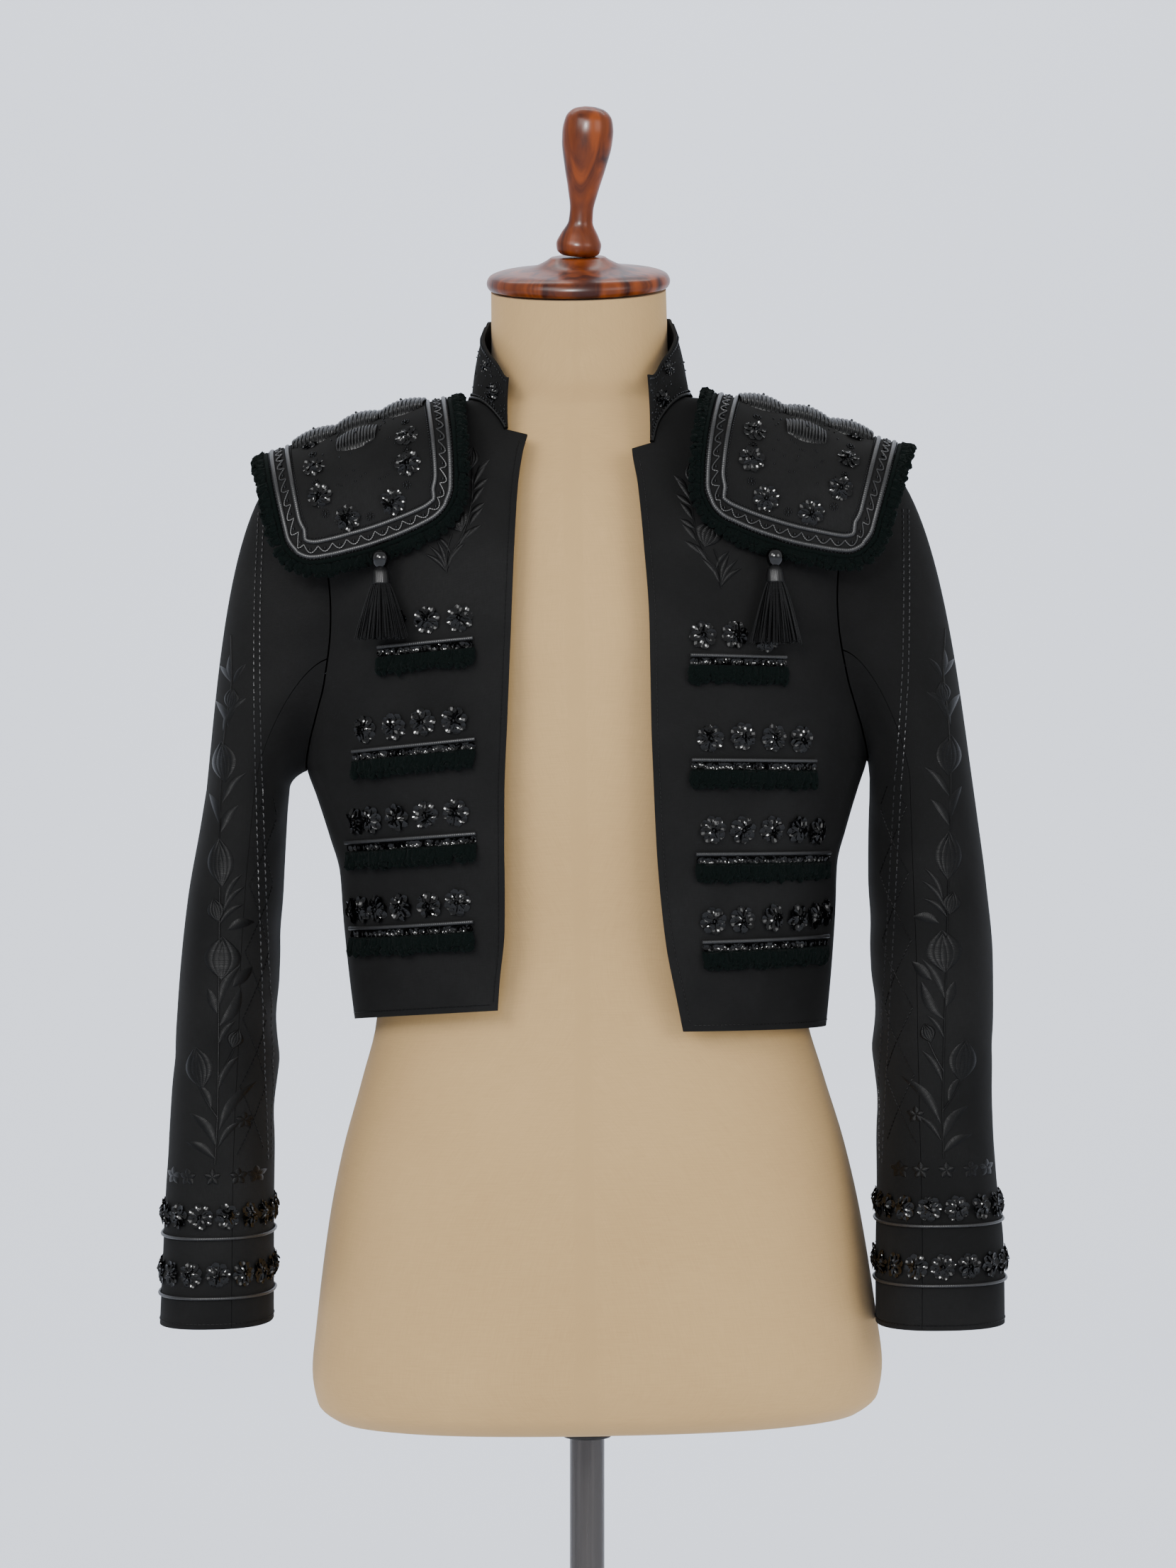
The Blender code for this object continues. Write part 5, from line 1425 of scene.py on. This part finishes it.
# Sprays are given in metres for the wearer's right, x negative. The left ones are their mirror,
# moved a little
sprays = {
    "sleeve": {
        "moved": {"across": 0.0054, "drift": 0.070, "from": 0.855, "down": 0.0040},
        "roses": columns("x z wide tall tilt", [
            (-0.2524, 0.8560, 0.0200, 0.0350, 0.05), (-0.2521, 0.7905, 0.0270, 0.0310, -0.05),
            (-0.2694, 0.7155, 0.0210, 0.0310, 0.15), (-0.2500, 0.9250, 0.0200, 0.0300, 0.10),
            (-0.2439, 0.7345, 0.0115, 0.0140, -0.35), (-0.2560, 0.8230, 0.0130, 0.0170, 0.20),
            (-0.2440, 0.9680, 0.0120, 0.0160, -0.10),
        ]),
        "stars": [(-0.2390, 0.6781, 0.0060)],
        "leaves": columns("x z angle length half bend", [
            (-0.2560, 0.6720, 52, 0.040, 0.0034, 0.10), (-0.2570, 0.6600, 48, 0.024, 0.0022, 0.10),
            (-0.2575, 0.6600, 128, 0.030, 0.0034, -0.12), (-0.2580, 0.6520, 150, 0.024, 0.0030, -0.10),
            (-0.2560, 0.7000, 58, 0.026, 0.0026, 0.10), (-0.2555, 0.7300, 55, 0.020, 0.0022, 0.10),
            (-0.2550, 0.7430, 60, 0.030, 0.0038, -0.10), (-0.2560, 0.7520, 110, 0.018, 0.0034, 0.0),
            (-0.2550, 0.7560, 62, 0.032, 0.0030, 0.10), (-0.2450, 0.7700, 45, 0.018, 0.0036, 0.0),
            (-0.2540, 0.8120, 40, 0.022, 0.0020, 0.12), (-0.2520, 0.8180, 52, 0.026, 0.0020, 0.12),
            (-0.2500, 0.8240, 62, 0.026, 0.0020, 0.12), (-0.2480, 0.8090, 15, 0.018, 0.0034, 0.10),
            (-0.2520, 0.8760, 55, 0.022, 0.0030, 0.10), (-0.2530, 0.8820, 112, 0.022, 0.0030, -0.10),
            (-0.2510, 0.8960, 50, 0.026, 0.0026, 0.10), (-0.2500, 0.9450, 60, 0.022, 0.0026, 0.10),
            (-0.2500, 0.9480, 122, 0.022, 0.0026, -0.10), (-0.2470, 0.9560, 40, 0.018, 0.0022, 0.10),
            (-0.2440, 0.9780, 95, 0.020, 0.0024, 0.05), (-0.2440, 0.9790, 130, 0.016, 0.0020, -0.05),
            (-0.2430, 0.9780, 55, 0.016, 0.0020, 0.05), (-0.2610, 0.6860, 118, 0.020, 0.0028, -0.10),
        ]),
        "stems": [
            [(-0.2589, 0.6489), (-0.2570, 0.6800), (-0.2555, 0.7250), (-0.2545, 0.7720), (-0.2530, 0.8380)],
            [(-0.2530, 0.8720), (-0.2515, 0.9100), (-0.2490, 0.9430), (-0.2440, 0.9800), (-0.2450, 1.0120)],
            [(-0.2565, 0.6800), (-0.2640, 0.6920), (-0.2680, 0.7010)],
            [(-0.2560, 0.7080), (-0.2500, 0.7180), (-0.2450, 0.7280)],
        ],
    },
    "chest": {
        "moved": {"across": 0.0, "drift": 0.0, "from": 0.0, "down": 0.0135},
        "roses": columns("x z wide tall tilt", [
            (-0.0754, 1.1290, 0.0120, 0.0175, -0.15), (-0.0860, 1.0873, 0.0205, 0.0210, 0.35),
        ]),
        "stars": [],
        "leaves": columns("x z angle length half bend", [
            (-0.0935, 1.0500, 122, 0.022, 0.0017, -0.10), (-0.0935, 1.0500, 138, 0.019, 0.0017, -0.10),
            (-0.0935, 1.0510, 106, 0.022, 0.0017, -0.06), (-0.0930, 1.0510, 62, 0.022, 0.0017, 0.08),
            (-0.0920, 1.0560, 48, 0.018, 0.0017, 0.08), (-0.0850, 1.0660, 52, 0.018, 0.0018, 0.08),
            (-0.0800, 1.0720, 40, 0.015, 0.0018, 0.08), (-0.0770, 1.0810, 52, 0.016, 0.0019, 0.08),
            (-0.0760, 1.0900, 35, 0.012, 0.0018, 0.05), (-0.0750, 1.0960, 55, 0.015, 0.0019, 0.08),
            (-0.0740, 1.1060, 38, 0.013, 0.0018, 0.05), (-0.0735, 1.1100, 58, 0.017, 0.0020, 0.08),
            (-0.0720, 1.1170, 48, 0.014, 0.0019, 0.06), (-0.0790, 1.1060, 130, 0.013, 0.0018, -0.08),
            (-0.0770, 1.1150, 120, 0.012, 0.0018, -0.08), (-0.0900, 1.0620, 128, 0.016, 0.0018, -0.08),
        ]),
        "stems": [
            [(-0.0935, 1.0495), (-0.0900, 1.0620), (-0.0830, 1.0720), (-0.0775, 1.0860), (-0.0745, 1.1050),
             (-0.0745, 1.1210)],
            [(-0.0935, 1.0500), (-0.0925, 1.0640), (-0.0890, 1.0760)],
        ],
    },
}


def mirroredPlace(side, moved, x, z):
    # the right side's places as they are, or their mirror with the left spray's own shift
    if side < 0:
        return x, z
    shift = moved["across"] + (moved["from"] - z) * moved["drift"]
    return -x - shift, z - moved["down"]


def spray(side, part):
    label = part + "Spray" + ("Right" if side < 0 else "Left")
    given = sprays[part]
    spot = spotByHeight(side, part)
    leaves = []
    for x, z, wide, tall, tilt in zip(*given["roses"].values()):
        x, z = mirroredPlace(side, given["moved"], x, z)
        leaves += roseLeaves(x, z, wide, tall, -side * tilt)
    for x, z, radius in given["stars"]:
        leaves += starLeaves(*mirroredPlace(side, given["moved"], x, z), radius)
    for x, z, angle, length, half, bend in zip(*given["leaves"].values()):
        x, z = mirroredPlace(side, given["moved"], x, z)
        leaves.append((x, z, angle if side < 0 else 180 - angle, length, half, -side * bend, 0.0007))
    stems = [[mirroredPlace(side, given["moved"], x, z) for x, z in stem] for stem in given["stems"]]
    bounded = side if part == "sleeve" else 0
    addParts(label, [satinLeaves(spot, leaves, bounded)] + stemCords(spot, stems), satinStitch)


for side in (-1, 1):
    spray(side, "sleeve")
    spray(side, "chest")
print("sprays made")


# Cuffs and the stitched lines of the sleeves

cuffOrnament = {
    "flowerRows": {-1: (0.6135, 0.5740), 1: (0.6105, 0.5710)},
    "flowerStart": {-1: (-0.2510, -0.2412), 1: (0.2289, 0.2371)},
    "starRow": {-1: 0.6403, 1: 0.6363},
    "starStart": {-1: -0.2432, 1: 0.2410},
    "spacing": 0.0184,
    "radius": 0.0088,
    "piping": {"lower": 0.558, "upper": 0.5985, "radius": 0.0011},
    "dottedLine": {
        -1: columns("x z", [(-0.2260, 1.098), (-0.2276, 1.008), (-0.2277, 0.863), (-0.2257, 0.645)]),
        1: columns("x z", [(0.2272, 1.092), (0.2231, 1.0005), (0.2133, 0.8552), (0.1998, 0.6373)]),
    },
    "dottedGap": 0.0042,
    "lattice": {"turns": (0.012, 0.115), "across": 0.103, "pitch": 0.046, "foot": 0.655,
                "heights": (0.652, 0.900), "stitch": (0.0034, 0.0022, 0.00036)},
}


def riseAt(side, height):
    cuff = sleeveShape["cuff"][side]
    return (height - cuff) / (sleeveShape["top"] - cuff)


def roundSleeve(side, height, startX, spacing):
    # turns evenly spaced along the cloth, one of them at startX
    turns = np.linspace(0, 1, 721)
    ring = sleevePoint(side, turns, riseAt(side, height))
    run = np.concatenate([[0], np.cumsum(np.linalg.norm(np.diff(ring, axis=0), axis=1))])
    front = turns < 0.5
    begin = run[front][np.abs(ring[front, 0] - startX).argmin()]
    count = int(round(run[-1] / spacing))
    return np.interp(np.mod(begin + np.arange(count) * run[-1] / count, run[-1]), run, turns)


def sleeveLines(side):
    label = "Right" if side < 0 else "Left"
    spot = sleeveSpot(side)
    look = cuffOrnament
    points = []
    normals = []
    for height, startX in zip(look["flowerRows"][side], look["flowerStart"][side]):
        turns = roundSleeve(side, height, startX, look["spacing"])
        row, rowNormals = spot(turns, riseAt(side, height) + 0 * turns)
        points.append(row)
        normals.append(rowNormals)
    scattered("cuff" + label, np.concatenate(points), np.concatenate(normals), look["radius"])
    for part, solids in (("lower", ["cuff_piping_" + label.lower()]), ("upper", [])):
        height = look["piping"][part]
        turns = np.linspace(0, 1, 180, endpoint=False)
        ring, ringNormals = spot(turns, riseAt(side, height) + 0 * turns)
        cord = tubes(ring + ringNormals * look["piping"]["radius"], ringNormals, look["piping"]["radius"], 8,
                     True)
        addPiece("cuffPiping" + part.capitalize() + label, cord[0], cord[1], satinCord, cord[2],
                 solids)
    starTurns = roundSleeve(side, look["starRow"][side], look["starStart"][side], look["spacing"])
    front = starTurns[(starTurns > 0.085) & (starTurns < 0.40)]
    starPoints, _ = spot(front, riseAt(side, look["starRow"][side]) + 0 * front)
    stars = []
    for x, _, z in starPoints:
        stars += starLeaves(x, z, 0.0060)
    addParts("cuffStars" + label, [satinLeaves(spotByHeight(side, "sleeve"), stars, side)], satinStitch)
    line = look["dottedLine"][side]
    levels = np.linspace(0, 1, 40)
    at = np.interp(levels, np.linspace(0, 1, len(line["x"])), np.arange(len(line["x"])))
    table = {"row": np.arange(len(line["x"]), dtype=float), "x": line["x"], "z": line["z"]}
    x = curveThrough(table, "x", at)
    z = curveThrough(table, "z", at)
    rows = [stitchRow(spot, *sleeveAt(side, x + shift, z), 0.0050, 0.0027, 0.00048)
            for shift in (0.0, -side * look["dottedGap"])]
    addParts("runningStitch" + label, rows, satinCord)
    hemRise = riseAt(side, sleeveShape["cuff"][side] + 0.0035)
    turns = np.linspace(0, 1, 240)
    dark = [stitchRow(spot, turns, hemRise + 0 * turns, 0.0030, 0.0021, 0.00028)]
    seamTurn = sleeveShape["topsleeve"][1]
    lattice = look["lattice"]
    pitch = lattice["pitch"]
    turn = np.linspace(seamTurn + lattice["turns"][0], seamTurn + lattice["turns"][1], 30)
    slant = (turn - turn.mean()) / lattice["across"] * pitch
    for k in range(-1, 12):
        for way in (-1, 1):
            height = lattice["foot"] + pitch * k + pitch / 2 + way * slant
            keep = (height > lattice["heights"][0]) & (height < lattice["heights"][1])
            if keep.sum() > 4:
                dark.append(stitchRow(spot, turn[keep], riseAt(side, height[keep]), *lattice["stitch"]))
    addParts("latticeStitch" + label, dark, satinStitch)


for side in (-1, 1):
    sleeveLines(side)
print("cuffs made")


# Collar beads and the stitching along the fronts and the hem

edgeFinish = {"inset": 0.0042, "pitch": 0.0031, "stitch": 0.0021, "thread": 0.00026,
              "collarBeads": 220, "collarFlower": (0.0063, 0.0050)}


def collarFinery():
    rows, cols = collarGrid.shape[:2]
    outward = collarOutward
    rng = chance.uniform(0, 1, (edgeFinish["collarBeads"], 2))
    picks = (rng[:, 0] * (cols - 3) + 1).astype(int)
    levels = (0.12 + rng[:, 1] * 0.74) * (rows - 1)
    low = np.floor(levels).astype(int)
    part = (levels - low)[:, None]
    points = collarGrid[low, picks] * (1 - part) + collarGrid[low + 1, picks] * part
    dots = [beadDots(points, outward[low, picks], chance.uniform(0.00045, 0.00085, len(points)))]
    for row in (1, rows - 2):
        line = collarGrid[row]
        run = np.concatenate([[0], np.cumsum(np.linalg.norm(np.diff(line, axis=0), axis=1))])
        at = np.arange(0.001, run[-1], 0.0028)
        spots = np.stack([np.interp(at, run, line[:, n]) for n in range(3)], -1)
        facing = unit(np.stack([np.interp(at, run, outward[row][:, n]) for n in range(3)], -1))
        dots.append(beadDots(spots, facing, 0.0008))
    addParts("collarSeeds", dots, beadGloss)
    seam = collarGrid[0] + outward[0] * 0.0006
    addParts("collarSeam", [tubes(seam, outward[0], 0.0016, 8)], satinStitch)
    share = np.array([0.12, 0.16, 0.30, 0.40, 0.50, 0.60, 0.70, 0.84, 0.88])
    picks = (share * (cols - 1)).astype(int)
    level = np.array([5, 11, 8, 9, 8, 9, 8, 11, 5])
    sizes = np.where(np.arange(len(share)) % 2 == 0, *edgeFinish["collarFlower"])
    scattered("collar", collarGrid[level, picks], outward[level, picks], sizes)


def hemSpot(turn, height):
    return jacketPoint(turn, height), normalsOf(jacketPoint, turn, height, bodyStep)


def edgeStitching():
    rows = []
    for side in (-1, 1):
        heights = np.linspace(jacketBody["hemFront"][side] + 0.006, jacketBody["notch"][side] - 0.004, 80)
        edge = curveThrough(jacketBody["frontEdge"], "right" if side < 0 else "left", heights)
        look = (edgeFinish["pitch"], edgeFinish["stitch"], edgeFinish["thread"])
        rows.append(stitchRow(bodySpot(side), edge + edgeFinish["inset"], heights, *look))
        share = np.linspace(0.03, 0.985, 60)
        corner = jacketBody["hemFront"][side]
        hem = corner + (jacketBody["hemSide"][side] - corner) * share
        start = curveThrough(jacketBody["frontEdge"], "right" if side < 0 else "left", hem)
        angle = side * (aroundAt(start, hem) + (89.9 - aroundAt(start, hem)) * share)
        rows.append(stitchRow(hemSpot, angle, hem + edgeFinish["inset"], *look))
    turn = np.linspace(92, 268, 120)
    atLeft = jacketBody["hemSide"][1]
    hem = atLeft + (jacketBody["hemSide"][-1] - atLeft) * (turn - 92) / 176
    rows.append(stitchRow(hemSpot, turn, hem + edgeFinish["inset"], *look))
    addParts("edgeStitch", rows, satinStitch)


collarFinery()
edgeStitching()
print("collar beads and edge stitching made")


# Tassels

tasselShape = {
    "places": columns("side across setBack top length", [
        (-1, 0.1375, 0.0010, 1.0655, 0.0600),
        (1, 0.1300, 0.0018, 1.0620, 0.0640),
    ]),
    "headRadius": 0.0062,
    "clearance": 0.0016,
    "flare": 0.0172,
    "lay": 0.16,
    "flatness": 0.45,
    "strands": 230,
    "strand": 0.00062,
    "waist": {"radius": 0.0052, "drop": 0.0215},
    "stray": 0.0004,
    "uneven": 0.018,
}


def tassel(side, across, setBack, top, length):
    label = "Right" if side < 0 else "Left"
    half = plateHalfDepth((across + shoulderPlate["swing"][side] - shoulderPlate["middle"][side])
                          / shoulderPlate["halfLength"])
    y = shoulderPlate["depthCentre"] - half - tasselShape["headRadius"] - tasselShape["clearance"] + setBack
    place = np.array([side * across, y, top])
    knob = turnedShape([(0.0016, 0.0), (0.0048, -0.0018), (0.0060, -0.0055), (0.0048, -0.0100),
                        (0.0034, -0.0120)], 28)
    addPiece("tasselBead" + label, knob[0] + place, knob[1], beadGloss, knob[2])
    neck = turnedShape([(0.0034, -0.0116), (0.0052, -0.0140), (0.0060, -0.0180), (0.0064, -0.0225),
                        (0.0040, -0.0235)], 28)
    addPiece("tasselNeck" + label, neck[0] + place, neck[1], purlWire,
             neck[2] * np.array([0.04, 1.0]))
    count = tasselShape["strands"]
    turn = chance.uniform(0, full, count)
    share = np.sqrt(chance.uniform(0.05, 1, count))
    t = np.linspace(0, 1, 9)[None, :]
    waist = tasselShape["waist"]
    spread = waist["radius"] + (tasselShape["flare"] - waist["radius"]) * t ** 0.8
    stray = chance.normal(0, tasselShape["stray"], (count, 1)) * t * 4
    x = spread * share[:, None] * np.cos(turn)[:, None] + stray
    flat = 1 - (1 - tasselShape["flatness"]) * t
    yy = spread * share[:, None] * np.sin(turn)[:, None] * flat - tasselShape["lay"] * length * t
    uneven = 1 + chance.normal(0, tasselShape["uneven"], (count, 1))
    drop = -waist["drop"] - (length - waist["drop"]) * t * uneven
    paths = np.stack([x, yy, drop], -1) + place
    facing = np.broadcast_to(np.array([0.02, -1.0, 0.02]), paths.shape)
    radius = tasselShape["strand"] * (1 - 0.45 * t)
    skirt = tubes(paths, facing, np.broadcast_to(radius, (count, t.size)), 4)
    addPiece("tasselSkirt" + label, skirt[0], skirt[1], tasselSilk, skirt[2],
             ["tassel_right" if side < 0 else "tassel_left"])


for side, *place in zip(*tasselShape["places"].values()):
    tassel(int(side), *place)
print("tassels made")


# Dress form and stand

def dressForm():
    turn = np.arange(formBody["sides"]) * 360.0 / formBody["sides"]
    levels = formBody["sections"]["height"]
    heights = np.concatenate([np.linspace(a, b, 6)[:-1] for a, b in zip(levels[:-1], levels[1:])]
                             + [levels[-1:]])
    rings = bodyPoint(formBody["sections"], turn[None, :], heights[:, None])
    angle = np.radians(turn)
    depth = formBody["neckCentre"] - formBody["neckRadius"] * np.cos(angle)
    rise = (depth - formBody["neckCentre"]) * math.tan(math.radians(formBody["neckSlant"]))
    rim = np.stack([formBody["neckRadius"] * np.sin(angle), depth, formBody["neckTop"] + rise], -1)
    share = np.linspace(0, 1, 10)[1:, None, None]
    grid = np.concatenate([rings, rings[-1][None] + (rim - rings[-1])[None] * share])
    flat = measured(np.concatenate([grid, grid[:, :1]], axis=1))[:, :-1]
    last = (len(grid) - 1) * len(turn) + np.arange(len(turn))
    caps = np.stack([np.arange(len(turn))[::-1], last])
    addPiece("linenForm", grid, [gridFaces(len(grid), len(turn), True), caps], linen, flat,
             ["form_torso"])


def slanted(points, lift, lean):
    # set a turned piece on the slanted top of the neck, leaning to the wearer's left first
    a = math.radians(lean)
    x = points[:, 0] * math.cos(a) + points[:, 2] * math.sin(a)
    z = -points[:, 0] * math.sin(a) + points[:, 2] * math.cos(a) + lift
    y = points[:, 1]
    s = math.radians(formBody["neckSlant"])
    return np.stack([x, y * math.cos(s) - z * math.sin(s) + formBody["neckCentre"],
                     y * math.sin(s) + z * math.cos(s) + formBody["neckTop"]], -1)


def standAndWood():
    cap = turnedShape([(0.0560, 0.0003), (0.0625, 0.0020), (0.0643, 0.0062), (0.0625, 0.0106),
                       (0.0560, 0.0134),
                       (0.0440, 0.0150), (0.0320, 0.0170), (0.0225, 0.0212), (0.0190, 0.0235)], 96)
    addPiece("woodCap", slanted(cap[0], 0.0, 0.0), cap[1], wood, cap[2], ["neck_cap"])
    finial = turnedShape([(0.0120, 0.0003), (0.0150, 0.0030), (0.0158, 0.0080), (0.0130, 0.0150),
                          (0.0085, 0.0240), (0.0082, 0.0320), (0.0105, 0.0450), (0.0145, 0.0620),
                          (0.0175, 0.0780), (0.0178, 0.0860),
                          (0.0160, 0.0960), (0.0100, 0.1020), (0.0040, 0.1035)], 72)
    addPiece("woodFinial", slanted(finial[0], 0.0245, 5.6), finial[1], wood, finial[2], ["finial"])
    ferruleTop = 0.4563
    ferruleFoot = 0.4438
    base = turnedShape([(0.1700, 0.0), (0.1850, 0.0), (0.1900, 0.0040), (0.1880, 0.0085), (0.1400, 0.0120),
                        (0.0500, 0.0160), (0.0220, 0.0180)], 128)
    addPiece("ironBase", base[0], base[1], iron, base[2], ["base"], upright=True)
    pole = turnedShape([(0.0123, 0.0183), (0.0123, 0.4435)], 64)
    addPiece("steelPole", pole[0], pole[1], steel, pole[2], ["pole"], upright=True)
    ferrule = turnedShape([(0.0150, ferruleFoot), (0.0168, ferruleFoot + 0.0008),
                           (0.0168, ferruleTop - 0.0008),
                           (0.0150, ferruleTop)], 64)
    addPiece("ironFerrule", ferrule[0], ferrule[1], iron, ferrule[2], ["ferrule"], upright=True)


dressForm()
standAndWood()
print("form and stand made")


# Studio

studio = {
    "camera": (0.0006, -3.0, 0.9045),
    "seenHeight": 1.106,  # at the form's middle
    "sensor": 24.0,
    "backdrop": (0.835, 0.87, 0.95),
}


def sweep():
    # floor that curves up into the backdrop, as one surface
    turn = np.linspace(0, math.pi / 2, 24)
    y = np.concatenate([[-9.0, 0.0], 3.6 + 1.8 * np.sin(turn), [5.4]])
    z = np.concatenate([[0.0, 0.0], 1.8 - 1.8 * np.cos(turn), [9.0]])
    x = np.linspace(-11, 11, 3)
    grid = np.stack(np.broadcast_arrays(x[None, :], y[:, None], z[:, None]), -1)
    mesh = bpy.data.meshes.new("studioSweep")
    mesh.from_pydata(grid.reshape(-1, 3).tolist(), [], gridFaces(len(y), 3).tolist())
    mesh.shade_smooth()
    material, tree, shader, at = newMaterial("palePaper", 0.95)
    clouds = grouped(tree, "clouds", at.outputs["Object"], Size=0.8)
    pale = studio["backdrop"]
    tinted(tree, shader, clouds.outputs["Mask"], tuple(c * 0.985 for c in pale), pale)
    mesh.materials.append(material)
    floor = bpy.data.objects.new("studioSweep", mesh)
    bpy.context.scene.collection.objects.link(floor)


def areaLight(name, place, aim, size, power, glossOnly=False):
    data = bpy.data.lights.new(name, "AREA")
    data.shape = "RECTANGLE"
    data.size, data.size_y = size
    data.energy = power
    lamp = bpy.data.objects.new(name, data)
    away = np.array(place) - np.array(aim)
    flat = math.hypot(away[0], away[1])
    lamp.rotation_euler = (math.atan2(flat, away[2]), 0, math.atan2(away[1], away[0]) + math.pi / 2)
    lamp.location = place
    lamp.visible_diffuse = not glossOnly
    bpy.context.scene.collection.objects.link(lamp)


def lightsAndCamera():
    world = bpy.data.worlds.new("softRoom")
    world.use_nodes = True
    world.node_tree.nodes["Background"].inputs[0].default_value = (0.95, 0.97, 1.0, 1)
    world.node_tree.nodes["Background"].inputs[1].default_value = 0.80
    bpy.context.scene.world = world
    areaLight("keyLight", (-2.0, -2.8, 2.6), (0, 0, 0.9), (1.6, 1.6), 62)
    areaLight("fillLight", (2.4, -2.4, 1.8), (0, 0, 0.9), (1.6, 1.6), 36)
    areaLight("backdropLight", (0.0, 1.6, 4.2), (0, 5.0, 1.0), (5.0, 1.2), 210)
    areaLight("glintLight", (-0.5, -2.9, 1.7), (0, 0, 0.9), (0.55, 0.55), 150, True)  # only seen as glints
    data = bpy.data.cameras.new("photoCamera")
    data.sensor_fit = "VERTICAL"
    data.sensor_height = studio["sensor"]
    data.lens = studio["sensor"] * -studio["camera"][1] / studio["seenHeight"]
    camera = bpy.data.objects.new("photoCamera", data)
    camera.location = studio["camera"]
    camera.rotation_euler = (math.pi / 2, 0, 0)
    bpy.context.scene.collection.objects.link(camera)
    bpy.context.scene.camera = camera


sweep()
lightsAndCamera()
